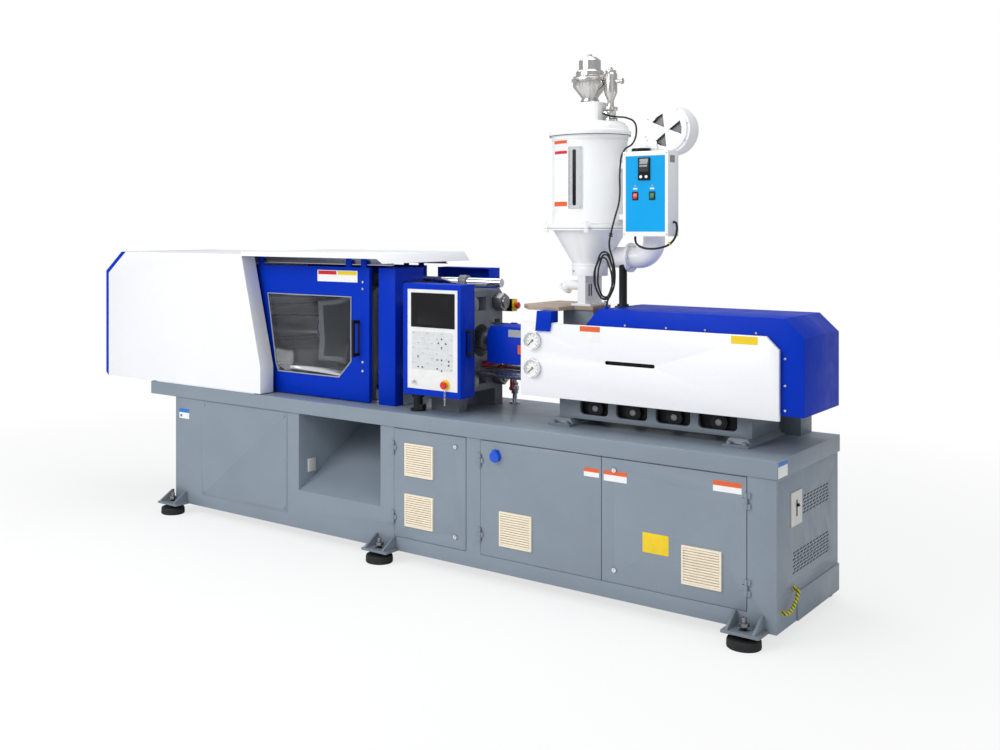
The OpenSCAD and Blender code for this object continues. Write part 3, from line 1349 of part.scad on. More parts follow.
// White side panels with folded edges, and the pressure gauges on the front one
module side_panels() {
    c = 63;
    color(panel_white) both_sides() {
        difference() {
            prism_y([[side_x, side_z0], [side_x, side_z1], [side_x1 - c, side_z1], [side_x1, side_z1 - c],
                [side_x1, side_z0]], -side_y, -side_y + 22);
            prism_y([[side_x + 4, side_z0 + 4], [side_x + 4, side_z1 - 4], [side_x1 - c - 2, side_z1 - 4],
                [side_x1 - 4, side_z1 - c - 2], [side_x1 - 4, side_z0 + 4]], -side_y + 5, -side_y + 23);
            soft_y(slot_x, slot_x + slot_l, axis_z - 46, axis_z - 26, 9.9, -side_y - 1, -side_y + 6);
        }
        for (x = [hood_x + 40, side_x1 - 90], z = [side_z0 + 60, side_z1 - 110])
            block([x, -side_y + 5, z], [x + 30, -hood_half, z + 30]);
    }
    color([0.75, 0.76, 0.78]) for (z = gauge_zs) {
        difference() {
            rod_y(gauge_x, -side_y - 26, -side_y, z, gauge_r);
            rod_y(gauge_x, -side_y - 27, -side_y - 10, z, gauge_r - 5);
        }
        rod_y(gauge_x, -side_y - 18, -side_y - 9, z, 3);
    }
}

// Gauge needle at its zero mark
module needle(z) color([0.05, 0.05, 0.05]) difference() {
    union() {
        rod_y(gauge_x, -side_y - 17, -side_y - 12, z, 6);
        translate([gauge_x, -side_y - 15.5, z]) rotate([0, -45, 0]) translate([-38, 0, -1.6]) cube([38, 2, 3.2]);
    }
    rod_y(gauge_x, -side_y - 20, -side_y - 8, z, 3 + fit);
}
module upper_needle() { needle(gauge_zs[0]); }
module lower_needle() { needle(gauge_zs[1]); }

// Mounting plate under the hopper
module hopper_plate() color([0.72, 0.64, 0.56]) difference() {
    translate([0, 0, seat_low]) linear_extrude(seat_t) difference() {
        polygon([[890, -140], [985, -248], [1178, -248], [1192, -105], [1312, -105], [1312, 105], [1192, 105],
            [1178, 248], [890, 248]]);
        translate([hopper_x, 0]) circle(r = feed_r);
    }
}

throat_w = 48;
throat_d = 192;
neck_r = cone_r + 17;
neck_h = 52;
drain_z = seat_top + 112;
drain_r = 27;
drain_bend = 44;

// Throat with its base flange, bent drain pipe, sight slots, bracket and neck collar
module hopper_throat() color(dryer_white) difference() {
    union() {
        block([hopper_x - 61, -104, seat_top], [hopper_x + 61, 104, seat_top + 12]);
        block([hopper_x - throat_w / 2, -throat_d / 2, seat_top + 12],
            [hopper_x + throat_w / 2, throat_d / 2, cone_z - neck_h + 1]);
        rod_z(hopper_x, 0, cone_z - neck_h, cone_z, neck_r);
        block([hopper_x + throat_w / 2 - 1, -80, seat_top + 44], [hopper_x + throat_w / 2 + 4, -14, seat_top + 132]);
        rod_x(hopper_x - 96, hopper_x - throat_w / 2 + 1, -40, drain_z, drain_r);
        rod_x(hopper_x - throat_w / 2 - 8, hopper_x - throat_w / 2, -40, drain_z, drain_r + 9);
        translate([hopper_x - 96, -40, drain_z - drain_bend]) rotate([90, 0, 0]) rotate([0, 0, 90])
            rotate_extrude(angle = 50) translate([drain_bend, 0]) circle(r = drain_r);
        translate([hopper_x - 96, -40, drain_z - drain_bend]) rotate([0, -50, 0])
            translate([-12, 0, drain_bend]) rotate([0, 90, 0]) cylinder(h = 12, r = drain_r + 11);
    }
    rod_z(hopper_x, 0, seat_top - 1, cone_z + 1, feed_r);
    translate([hopper_x - 96, -40, drain_z - drain_bend]) rotate([0, -50, 0])
        translate([-13, 0, drain_bend]) rotate([0, 90, 0]) cylinder(h = 22, r = drain_r - 5);
    for (y = [-66, -40])
        block([hopper_x + throat_w / 2 - 12, y, seat_top + 54], [hopper_x + throat_w / 2 + 5, y + 14, seat_top + 122]);
}

drum_flange = drum_r + 32;
seat_gap = 0.3;
glass_turn = 6;
glass_z0 = drum_z + 108;
glass_z1 = lid_z - 44;
clamp_turns = [24, 114, 204, 294];

// Hopper cone with its flange and swing bolts, and above it the drum with the sight glass frame
module hopper_body() color(dryer_white) {
    t = drum_t;
    translate([hopper_x, 0, cone_z]) rotate_extrude($fn = 96) polygon([[neck_r, 0], [neck_r, 10],
        [cone_r + 12, 16], [drum_r - 4, cone_h - 12], [drum_flange, cone_h - 10], [drum_flange, cone_h],
        [drum_r - t, cone_h], [cone_r - 8, 10], [cone_r - 8, 0]]);
    for (a = clamp_turns) translate([hopper_x, 0, drum_z]) rotate([0, 0, a]) {
        translate([drum_flange - 6, -12, -22]) cube([26, 24, 20]);
        translate([drum_flange + 8, 0, -3]) cylinder(h = 50, r = 5);
        translate([drum_flange + 8, -15, 40]) rotate([-90, 0, 0]) cylinder(h = 30, r = 6);
    }
    difference() {
        union() {
            translate([hopper_x, 0, drum_z]) rotate_extrude($fn = 96) polygon([[drum_r - t, seat_gap],
                [drum_flange, seat_gap], [drum_flange, 12], [drum_r, 14], [drum_r, drum_h], [drum_r - t, drum_h]]);
            translate([hopper_x, 0, 0]) rotate([0, 0, glass_turn])
                block([-40, -drum_r - 6, glass_z0], [40, -drum_r + 10, glass_z1]);
            for (a = clamp_turns) translate([hopper_x, 0, drum_z]) rotate([0, 0, a])
                translate([drum_flange - 6, -12, seat_gap]) cube([26, 24, 16]);
        }
        for (a = clamp_turns) translate([hopper_x, 0, drum_z - 1]) rotate([0, 0, a])
            translate([drum_flange + 8, 0, 0]) cylinder(h = 30, r = 5 + seat_gap);
        translate([hopper_x, 0, 0]) rotate([0, 0, glass_turn])
            soft_y(-14, 8, glass_z0 + 16, glass_z1 - 16, 10.9, -drum_r - 8, -drum_r + 30);
        translate([hopper_x, 0, drum_z + 20]) cylinder(h = drum_h - 30, r = drum_r - t, $fn = 96);
    }
}

// Lid with its rolled rim, and the white box on it
module hopper_lid() color(dryer_white) {
    translate([hopper_x, 0, lid_z]) rotate_extrude($fn = 96) polygon([[0, 0], [drum_r + 4, 0],
        [drum_r + 4, 18], [drum_r + 18, 22], [drum_r + 20, 46], [drum_r + 8, 54], [drum_r + 3, 70],
        [drum_r - 16, lid_h - 4], [drum_r - 30, lid_h], [0, lid_h]]);
    w = lid_box_w / 2;
    translate([hopper_x, 0, lid_top]) linear_extrude(lid_box_h)
        polygon([[-w, -w + 16], [-w + 16, -w], [w - 16, -w], [w, -w + 16], [w, w - 16], [w - 16, w],
            [-w + 16, w], [-w, w - 16]]);
}

tower_x = hopper_x + 130;

// Stainless vacuum receiver on the box, and the motor tower beside it
module vacuum_receiver() color([0.78, 0.76, 0.74]) {
    r = receiver_r;
    translate([hopper_x, 0, receiver_z]) rotate_extrude($fn = 64) polygon([[0, 0], [52, 0], [52, 18],
        [46, 22], [46, 32], [r - 8, 94], [r - 8, 120], [r, 124], [r, 136], [r - 8, 140], [r - 10, 150],
        [r - 24, 154], [r - 24, 176], [70, 184], [61, 188], [61, 240], [40, 258], [14, 266], [12, 276], [0, 278]]);
    translate([tower_x, 0, lid_top]) rotate_extrude() polygon([[0, 0], [38, 0], [38, 18], [28, 22], [28, 58],
        [38, 62], [38, 80], [18, 84], [18, 118], [34, 158], [36, 164], [36, 262], [30, 274], [30, 284],
        [12, 290], [10, 302], [0, 302]]);
    rod_x(hopper_x + 40, tower_x - 24, 0, receiver_z + 122, 12);
    rod_x(tower_x + 30, tower_x + 66, 0, lid_top + 222, 11);
    rod_x(tower_x + 66, tower_x + 74, 0, lid_top + 222, 17);
    rod_y(tower_x, -70, -20, lid_top + 40, 12);
}

rocker_z = dryer_z + 216;
rocker_xs = [dryer_x + 72, dryer_x + 170];

// Control box of the dryer: case, framed front, display and bracket arms to the drum
module dryer_box() {
    y0 = dryer_y0;
    y1 = dryer_y0 + dryer_d;
    color(dryer_white) {
        difference() {
            block([dryer_x, y0, dryer_z], [dryer_x + dryer_w, y1, dryer_z + dryer_h]);
            block([dryer_x + 16, y0 - 1, dryer_z + 24], [dryer_x + dryer_w - 16, y0 + 2, dryer_z + dryer_h - 24]);
            for (x = rocker_xs) {
                block([x - 14, y0 - 1, rocker_z - 19], [x + 14, y0 + 24, rocker_z + 19]);
                rod_x(x - 17, x + 17, y0 + 8, rocker_z, 2 + fit);
            }
        }
        difference() {
            for (z = [dryer_z + 90, dryer_z + 370])
                block([hopper_x + drum_r - 16, -50, z], [dryer_x, -14, z + 30]);
            translate([hopper_x, 0, drum_z]) cylinder(h = drum_h, r = drum_r, $fn = 96);
        }
    }
    color([0.1, 0.1, 0.11]) {
        block([dryer_x + 92, y0 - 8, dryer_z + 300], [dryer_x + 158, y0 + 2, dryer_z + 420]);
        rod_z(dryer_x + 76, y0 + 65, dryer_z + dryer_h, dryer_z + dryer_h + 34, 50);
    }
}
module rocker(x) difference() {
    union() {
        prism_x([[dryer_y0 - 5, rocker_z - 14], [dryer_y0 - 1, rocker_z + 14], [dryer_y0 + 14, rocker_z + 14],
            [dryer_y0 + 14, rocker_z - 14]], x - 12, x + 12);
        rod_x(x - 16.5, x + 16.5, dryer_y0 + 8, rocker_z, 2);
    }
}
module red_rocker() color([0.8, 0.1, 0.1]) rocker(rocker_xs[0]);
module green_rocker() color([0.05, 0.45, 0.2]) rocker(rocker_xs[1]);

fan_x = dryer_x + 183;
fan_z = lid_z + 38;
fan_y0 = dryer_y0 + dryer_d + 12;
fan_y1 = fan_y0 + 120;
duct_x = fan_x - blower_r + 42;

// Blower housing with three triangular intakes, its motor and the heater duct
module blower() color(dryer_white) {
    r = blower_r;
    difference() {
        union() {
            rod_y(fan_x, fan_y0 + 8, fan_y1, fan_z, r);
            rod_y(fan_x, fan_y0, fan_y1 - 40, fan_z, r - 16);
            block([duct_x - 42, fan_y0 - 12, dryer_z + 35], [duct_x + 42, fan_y1 - 20, fan_z - 60]);
            rod_y(fan_x, fan_y1, fan_y1 + 110, fan_z, 62);
        }
        rod_y(fan_x, fan_y0 + 6, fan_y1 - 12, fan_z, r - 22);
        block([duct_x - 34, fan_y0 + 4, dryer_z + 34], [duct_x + 34, fan_y1 - 28, fan_z - 50]);
        for (a = [7, 127, 247]) translate([fan_x, fan_y0 + 7, fan_z]) rotate([90, 0, 0]) rotate([0, 0, a])
            linear_extrude(9) polygon([[16, 0], [84, -38], [90, 0], [84, 38]]);
        rod_y(fan_x, fan_y1 - 14, fan_y1 + 60, fan_z, 8 + fit);
    }
}

// Fan wheel with radial vanes on its shaft
module blower_wheel() color([0.3, 0.3, 0.32]) {
    rod_y(fan_x, fan_y0 + 40, fan_y1 + 50, fan_z, 8);
    rod_y(fan_x, fan_y1 - 24, fan_y1 - 20, fan_z, blower_r - 34);
    rod_y(fan_x, fan_y0 + 40, fan_y1 - 20, fan_z, 22);
    for (a = [0:36:324]) translate([fan_x, fan_y1 - 24, fan_z]) rotate([90, 0, 0]) rotate([0, 0, a])
        translate([20, -1.5, 0]) cube([blower_r - 56, 3, fan_y1 - fan_y0 - 70]);
}

bend_r = 90;
pipe_y = (fan_y0 + fan_y1) / 2 - 12;
pipe_z = dryer_z - 120;
pipe_x = duct_x - bend_r;
post2_x = 1421;
flange_x = pipe_x - 56;

// Hot air pipe with its bend, flanges and the black post under it
module air_pipe() {
    color(dryer_white) {
        rod_z(duct_x, pipe_y, pipe_z + bend_r, dryer_z + 23, pipe_r);
        rod_z(duct_x, pipe_y, dryer_z + 23, dryer_z + 35, pipe_r - 8);
        translate([pipe_x, pipe_y, pipe_z + bend_r]) rotate([90, 0, 0]) rotate([0, 0, -90])
            rotate_extrude(angle = 90) translate([bend_r, 0]) circle(r = pipe_r);
        difference() {
            union() {
                rod_x(hopper_x + 60, pipe_x, pipe_y, pipe_z, pipe_r);
                rod_x(flange_x, flange_x + 14, pipe_y, pipe_z, pipe_r + 24);
            }
            translate([hopper_x, 0, cone_z]) rotate_extrude($fn = 96) polygon([[0, 0], [neck_r, 0],
                [neck_r, 10], [cone_r + 12, 16], [drum_r - 4, cone_h - 12], [0, cone_h]]);
            translate([hopper_x, 0, cone_z - neck_h]) cylinder(h = neck_h + 1, r = neck_r + seat_gap);
        }
    }
    color(black_plastic) difference() {
        union() {
            rod_z(post2_x, 40, hood_top - 10, pipe_z, 22);
            rod_z(post2_x, 40, hood_top, hood_top + 12, 32);
            block([post2_x - 34, 8, hood_top - 30], [post2_x + 34, 72, hood_top + 2]);
        }
        prism_y(hood_points, 0, 80);
        rod_x(post2_x - 50, post2_x + 50, pipe_y, pipe_z, pipe_r);
    }
}

// Loader lead: down beside the dryer, two and a half hanging turns, into its gland
module dryer_lead() color([0.05, 0.05, 0.05]) {
    swept(lead_route, 5, 8);
    swept(box_lead_route, 6, 8);
}

bed_frame();
bed_table();
bed_panels();
foot_brackets();
foot_pads();
left_cabinet_door();
middle_cabinet_door();
right_cabinet_door();
socket_cap();
left_upper_lock();
left_lower_lock();
right_upper_lock();
right_lower_lock();
fixed_platen();
cylinder_platen();
tie_bars();
guide_rails();
moving_platen();
clamp_ram();
ejector();
clamp_cover();
fixed_guards();
front_safety_door();
front_door_window();
rear_safety_door();
control_pedestal();
control_box();
control_panel();
panel_stop();
key_switch();
electrical_boxes();
breaker_handle();
platen_stop();
power_unit();
valve_block();
valve_lever();
hoses_and_cables();
injection_supports();
injection_base();
injection_housing();
barrel();
screw();
thrust_block();
nozzle_guard();
injection_cover();
side_panels();
upper_needle();
lower_needle();
hopper_plate();
hopper_throat();
hopper_body();
hopper_lid();
vacuum_receiver();
dryer_box();
red_rocker();
green_rocker();
blower();
blower_wheel();
air_pipe();
dryer_lead();
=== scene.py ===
import json
import math

import bpy
from mathutils import Matrix, Vector

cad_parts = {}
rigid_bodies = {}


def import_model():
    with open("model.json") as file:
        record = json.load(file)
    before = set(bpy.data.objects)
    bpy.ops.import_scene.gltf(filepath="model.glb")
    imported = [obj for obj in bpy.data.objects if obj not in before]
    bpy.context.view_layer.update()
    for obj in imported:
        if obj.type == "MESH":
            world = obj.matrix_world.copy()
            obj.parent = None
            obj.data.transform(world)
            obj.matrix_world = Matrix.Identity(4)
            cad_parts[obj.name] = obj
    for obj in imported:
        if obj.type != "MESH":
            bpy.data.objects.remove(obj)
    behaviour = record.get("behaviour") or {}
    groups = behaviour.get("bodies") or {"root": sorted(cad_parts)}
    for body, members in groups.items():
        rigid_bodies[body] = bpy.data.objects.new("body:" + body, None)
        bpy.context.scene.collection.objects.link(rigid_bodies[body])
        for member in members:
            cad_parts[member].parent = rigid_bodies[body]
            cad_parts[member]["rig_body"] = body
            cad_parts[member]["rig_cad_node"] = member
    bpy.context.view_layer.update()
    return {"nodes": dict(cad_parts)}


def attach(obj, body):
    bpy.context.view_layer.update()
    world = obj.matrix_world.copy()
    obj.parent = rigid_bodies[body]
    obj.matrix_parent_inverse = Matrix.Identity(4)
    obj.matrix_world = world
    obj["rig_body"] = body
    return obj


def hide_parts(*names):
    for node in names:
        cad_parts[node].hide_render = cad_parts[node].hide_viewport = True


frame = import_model()
mm = 0.001
print("frame loaded:", len(frame["nodes"]), "nodes")


# Sizes below are in millimetres in the frame of the CAD, and become metres inside these tools

def srgb(red, green, blue):
    # screen colour, 0 to 255, as the linear colour that a shader takes
    parts = [c / 255 for c in (red, green, blue)]
    return tuple(c / 12.92 if c <= 0.04045 else ((c + 0.055) / 1.055) ** 2.4 for c in parts) + (1.0,)


def shade(color, factor):
    return tuple(min(1.0, c * factor) for c in color[:3]) + (1.0,)


def clearSelection():
    if bpy.context.object and bpy.context.object.mode != "OBJECT":
        bpy.ops.object.mode_set(mode="OBJECT")
    bpy.ops.object.select_all(action="DESELECT")


def pick(piece):
    clearSelection()
    piece.select_set(True)
    bpy.context.view_layer.objects.active = piece
    return piece


def edit(piece):
    pick(piece)
    bpy.ops.object.mode_set(mode="EDIT")
    bpy.ops.mesh.select_all(action="SELECT")


def leave():
    bpy.ops.object.mode_set(mode="OBJECT")


def modify(piece, kind, **settings):
    pick(piece)
    step = piece.modifiers.new(kind.lower(), kind)
    for key, value in settings.items():
        setattr(step, key, value)
    bpy.ops.object.modifier_apply(modifier=step.name)
    return piece


def smooth(piece, degrees=32):
    pick(piece)
    bpy.ops.object.shade_smooth_by_angle(angle=math.radians(degrees))
    return piece


def bevel(piece, width, segments=2, degrees=40):
    modify(piece, "BEVEL", width=width * mm, segments=segments, limit_method="ANGLE",
           angle_limit=math.radians(degrees), use_clamp_overlap=True)
    return smooth(piece)


def settle(piece):
    # the object goes to the origin and its place into its mesh
    pick(piece)
    bpy.ops.object.transform_apply(location=True, rotation=True, scale=True)
    return piece


def dress(piece, paint):
    piece.data.materials.clear()
    piece.data.materials.append(paint.material)
    return piece


def join(pieces):
    clearSelection()
    for piece in pieces:
        piece.select_set(True)
    bpy.context.view_layer.objects.active = pieces[0]
    if len(pieces) > 1:
        bpy.ops.object.join()
    return pieces[0]


def add(name, body, slotName, pieces, *nodes):
    # joins finished pieces under one name, sets them on a body and lets them stand for CAD nodes
    piece = join(pieces if isinstance(pieces, list) else [pieces])
    piece.name = name
    piece.data.name = name
    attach(piece, body)
    if nodes:
        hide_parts(*nodes)
    return piece


def block(paint, low, high, width=0.0, segments=2):
    # box between two corners with its edges rounded
    low, high = Vector(low) * mm, Vector(high) * mm
    clearSelection()
    bpy.ops.mesh.primitive_cube_add(size=1, location=(low + high) / 2)
    piece = bpy.context.object
    piece.scale = high - low
    settle(piece)
    if width:
        bevel(piece, width, segments)
    return dress(piece, paint)


def aim(piece, centre, axis):
    # turns a piece made along +Z to point along the axis, and moves it
    piece.rotation_mode = "QUATERNION"
    piece.rotation_quaternion = Vector((0, 0, 1)).rotation_difference(Vector(axis))
    piece.location = Vector(centre) * mm
    return settle(piece)


def rod(paint, start, end, radius, vertices=32, width=0.0, segments=2):
    # round bar between two points
    start, end = Vector(start), Vector(end)
    clearSelection()
    bpy.ops.mesh.primitive_cylinder_add(vertices=vertices, radius=radius * mm, depth=(end - start).length * mm)
    piece = aim(bpy.context.object, (start + end) / 2, end - start)
    if width:
        bevel(piece, width, segments)
    return smooth(dress(piece, paint))


def turned(paint, rings, centre, axis=(0, 0, 1), vertices=48, closed=True):
    # turned shape: a circle extruded from ring to ring, each ring a radius and a height
    clearSelection()
    radius, height = rings[0]
    bpy.ops.mesh.primitive_circle_add(vertices=vertices, radius=radius * mm, location=(0, 0, height * mm),
                                      fill_type="NGON" if closed else "NOTHING")
    piece = bpy.context.object
    edit(piece)
    for nextRadius, nextHeight in rings[1:]:
        bpy.ops.mesh.extrude_region_move(TRANSFORM_OT_translate={"value": (0, 0, (nextHeight - height) * mm)})
        bpy.ops.transform.resize(value=(nextRadius / radius, nextRadius / radius, 1), center_override=(0, 0, 0))
        radius, height = nextRadius, nextHeight
    bpy.ops.mesh.select_all(action="SELECT")
    bpy.ops.mesh.normals_make_consistent(inside=False)
    leave()
    return smooth(dress(aim(piece, centre, axis), paint))


def ring(paint, centre, axis, radius, thickness, around=48, across=12):
    clearSelection()
    bpy.ops.mesh.primitive_torus_add(major_radius=radius * mm, minor_radius=thickness * mm, major_segments=around,
                                     minor_segments=across)
    return smooth(dress(aim(bpy.context.object, centre, axis), paint), 60)


def plate(paint, points, low, high, plane="XZ", width=0.0, segments=2):
    # flat outline extruded between two heights; the plane names the two axes of its points
    order = {"XY": (0, 1, 2), "XZ": (0, 2, 1), "YZ": (1, 2, 0)}[plane]
    corners = []
    for point in points:
        corner = [0, 0, 0]
        corner[order[0]], corner[order[1]], corner[order[2]] = point[0] * mm, point[1] * mm, low * mm
        corners.append(corner)
    mesh = bpy.data.meshes.new("plate")
    mesh.from_pydata(corners, [], [list(range(len(corners)))])
    piece = bpy.data.objects.new("plate", mesh)
    bpy.context.scene.collection.objects.link(piece)
    edit(piece)
    move = [0, 0, 0]
    move[order[2]] = (high - low) * mm
    bpy.ops.mesh.extrude_region_move(TRANSFORM_OT_translate={"value": move})
    bpy.ops.mesh.select_all(action="SELECT")
    bpy.ops.mesh.normals_make_consistent(inside=False)
    leave()
    if width:
        bevel(piece, width, segments)
    return smooth(dress(piece, paint))


def cut(piece, cutter):
    # takes one shape out of another
    modify(piece, "BOOLEAN", operation="DIFFERENCE", object=cutter, solver="EXACT")
    pick(cutter)
    bpy.ops.object.delete()
    return piece


def spread(piece, places):
    # copies of a piece, each with its own mesh, moved by each place and joined
    copies = []
    for place in places:
        other = piece.copy()
        other.data = piece.data.copy()
        bpy.context.scene.collection.objects.link(other)
        other.data.transform(Matrix.Translation(Vector(place) * mm))
        copies.append(other)
    pick(piece)
    bpy.ops.object.delete()
    return join(copies)


def tube(paint, points, radius, resolution=5, kind="BEZIER", steps=8, cyclic=False):
    # round tube along a given route
    line = bpy.data.curves.new("tube", "CURVE")
    line.dimensions = "3D"
    line.bevel_depth = radius * mm
    line.bevel_resolution = resolution
    line.resolution_u = steps
    line.use_fill_caps = not cyclic
    spline = line.splines.new(kind)
    places = [Vector(point) * mm for point in points]
    if kind == "BEZIER":
        spline.bezier_points.add(len(places) - 1)
        for knot, place in zip(spline.bezier_points, places):
            knot.co = place
            knot.handle_left_type = knot.handle_right_type = "AUTO"
    else:
        spline.points.add(len(places) - 1)
        for knot, place in zip(spline.points, places):
            knot.co = (*place, 1)
    spline.use_cyclic_u = cyclic
    piece = bpy.data.objects.new("tube", line)
    bpy.context.scene.collection.objects.link(piece)
    pick(piece)
    bpy.ops.object.convert(target="MESH")
    return smooth(dress(bpy.context.object, paint), 60)


def cadCopy(node, paints, width=1.2, segments=2, degrees=38):
    # copy of a CAD node: triangles merged, areas between two corners given their own finish, edges rounded
    source = frame["nodes"][node]
    clearSelection()
    piece = source.copy()
    piece.data = source.data.copy()
    bpy.context.scene.collection.objects.link(piece)
    piece.parent = None
    piece.hide_render = False
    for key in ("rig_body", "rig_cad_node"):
        if key in piece:
            del piece[key]
    edit(piece)
    bpy.ops.mesh.remove_doubles(threshold=1e-5)
    leave()
    piece.data.materials.clear()
    for number, entry in enumerate(paints):
        paint, zones = entry if isinstance(entry, tuple) else (entry, [])
        piece.data.materials.append(paint.material)
        for low, high in zones:
            repaint(piece, number, low, high)
    edit(piece)
    bpy.ops.mesh.dissolve_limited(angle_limit=math.radians(0.5), delimit={"MATERIAL"})
    leave()
    if width:
        bevel(piece, width, segments, degrees)
    return smooth(piece, 30)


def coatNode(name, body, slotName, node, paint, width):
    # a CAD node in one finish, its edges rounded
    add(name, body, slotName, [cadCopy(node, [paint], width)], node)


def repaint(piece, number, low, high):
    # faces that lie wholly between two corners take the material of that number
    low, high = Vector(low) * mm, Vector(high) * mm
    vertices = piece.data.vertices
    for face in piece.data.polygons:
        places = [vertices[i].co for i in face.vertices]
        if all(low[k] <= place[k] <= high[k] for place in places for k in range(3)):
            face.material_index = number


class Wire:
    # a node's output that sums can be written with
    def __init__(self, paint, socket):
        self.paint, self.socket = paint, socket

    def sum(self, operation, first, second=0.0):
        return self.paint.use("ShaderNodeMath", {"operation": operation}, {0: first, 1: second})

    def __add__(self, other): return self.sum("ADD", self, other)
    def __radd__(self, other): return self.sum("ADD", other, self)
    def __sub__(self, other): return self.sum("SUBTRACT", self, other)
    def __rsub__(self, other): return self.sum("SUBTRACT", other, self)
    def __mul__(self, other): return self.sum("MULTIPLY", self, other)
    def __rmul__(self, other): return self.sum("MULTIPLY", other, self)
    def __truediv__(self, other): return self.sum("DIVIDE", self, other)
    def __rtruediv__(self, other): return self.sum("DIVIDE", other, self)
    def __gt__(self, other): return self.sum("GREATER_THAN", self, other)
    def __lt__(self, other): return self.sum("LESS_THAN", self, other)
    def __pow__(self, other): return self.sum("POWER", self, other)


class Paint:
    # a material with one shader, whose sockets take numbers, colours or wires
    def __init__(self, name, color, roughness, metallic=0.0, coat=0.0):
        self.material = bpy.data.materials.new(name)
        self.material.use_nodes = True
        self.material.diffuse_color = color
        self.tree = self.material.node_tree
        self.surface = self.tree.nodes["Principled BSDF"]
        self.set("Base Color", color)
        self.set("Roughness", roughness)
        self.set("Metallic", metallic)
        self.set("Coat Weight", coat)
        self.set("Coat Roughness", 0.08)

    def feed(self, socket, value):
        if isinstance(value, Wire):
            self.tree.links.new(value.socket, socket)
        else:
            socket.default_value = value

    def set(self, socketName, value):
        self.feed(self.surface.inputs[socketName], value)

    def use(self, kind, settings=None, inputs=None, output=0):
        # any other node: its type, its settings first, then its inputs
        node = self.tree.nodes.new(kind)
        for key, value in (settings or {}).items():
            if key == "stops":
                ramp = node.color_ramp
                while len(ramp.elements) < len(value):
                    ramp.elements.new(0.5)
                for stop, (position, color) in zip(ramp.elements, value):
                    stop.position = position
                    stop.color = color
            else:
                setattr(node, key, value)
        for key, value in (inputs or {}).items():
            self.feed(node.inputs[key], value)
        return Wire(self, node.outputs[output])

    def place(self, scale=(1, 1, 1), move=(0, 0, 0)):
        here = self.use("ShaderNodeTexCoord", output="Object")
        return self.use("ShaderNodeMapping", {}, {"Vector": here, "Scale": scale, "Location": move})

    def axes(self):
        here = self.use("ShaderNodeTexCoord", output="Object")
        split = self.use("ShaderNodeSeparateXYZ", {}, {0: here}).socket.node
        return [Wire(self, split.outputs[i]) for i in range(3)]

    def noise(self, size, detail=3.0, scale=(1, 1, 1)):
        # size in millimetres
        return self.use("ShaderNodeTexNoise", {}, {"Vector": self.place(scale), "Scale": 1 / (size * mm),
                                                   "Detail": detail, "Roughness": 0.55})

    def mix(self, factor, first, second, blend="MIX"):
        return self.use("ShaderNodeMix", {"data_type": "RGBA", "blend_type": blend}, {0: factor, 6: first, 7: second},
                        output=2)

    def span(self, value, low, high, lowOut=0.0, highOut=1.0):
        return self.use("ShaderNodeMapRange", {"clamp": True}, {0: value, 1: low, 2: high, 3: lowOut, 4: highOut})

    def bump(self, height, distance):
        # depth in millimetres
        return self.use("ShaderNodeBump", {}, {"Height": height, "Distance": distance * mm, "Strength": 1.0})


def coated(name, color, roughness=0.42, grain=2.5, depth=0.02, coat=0.15, tone=0.04):
    # sprayed steel: fine orange peel, a slow change of tone and dull patches
    paint = Paint(name, color, roughness, coat=coat)
    slow = paint.span(paint.noise(350, 4), 0.35, 0.65)
    fine = paint.span(paint.noise(18, 3), 0.3, 0.7, 0, 0.15)
    broad = paint.mix(slow, shade(color, 1 - tone), shade(color, 1 + tone * 0.6))
    paint.set("Base Color", paint.mix(fine, broad, shade(color, 0.88)))
    paint.set("Roughness", paint.span(paint.noise(120, 4), 0.3, 0.7, roughness - 0.06, roughness + 0.08))
    paint.set("Normal", paint.bump(paint.noise(grain, 2), depth))
    return paint


def metal(name, color, roughness=0.25, streak=(1, 1, 60), size=20, depth=0.02):
    # bare or plated metal with fine drawn lines
    paint = Paint(name, color, roughness, metallic=1.0)
    lines = paint.noise(size, 4, streak)
    paint.set("Roughness", paint.span(lines, 0.3, 0.7, roughness * 0.7, roughness * 1.35))
    paint.set("Base Color", paint.mix(paint.span(lines, 0.3, 0.7), shade(color, 0.88), color))
    paint.set("Normal", paint.bump(lines, depth))
    return paint


def moulded(name, color, roughness=0.45, grain=0.7, depth=0.04, coat=0.0):
    # moulded plastic or rubber with a fine grain
    paint = Paint(name, color, roughness, coat=coat)
    paint.set("Base Color", paint.mix(paint.span(paint.noise(50, 3), 0.3, 0.7), shade(color, 0.92), color))
    paint.set("Roughness", paint.span(paint.noise(30, 3), 0.3, 0.7, roughness - 0.05, roughness + 0.07))
    paint.set("Normal", paint.bump(paint.noise(grain, 2), depth))
    return paint


def clear(name, color, roughness=0.03):
    # clear pane with faint wipe marks
    paint = Paint(name, color, roughness)
    paint.set("Transmission Weight", 1.0)
    paint.set("IOR", 1.45)
    paint.set("Roughness", paint.span(paint.noise(60, 4, (1, 1, 0.3)), 0.35, 0.7, roughness, roughness + 0.06))
    return paint


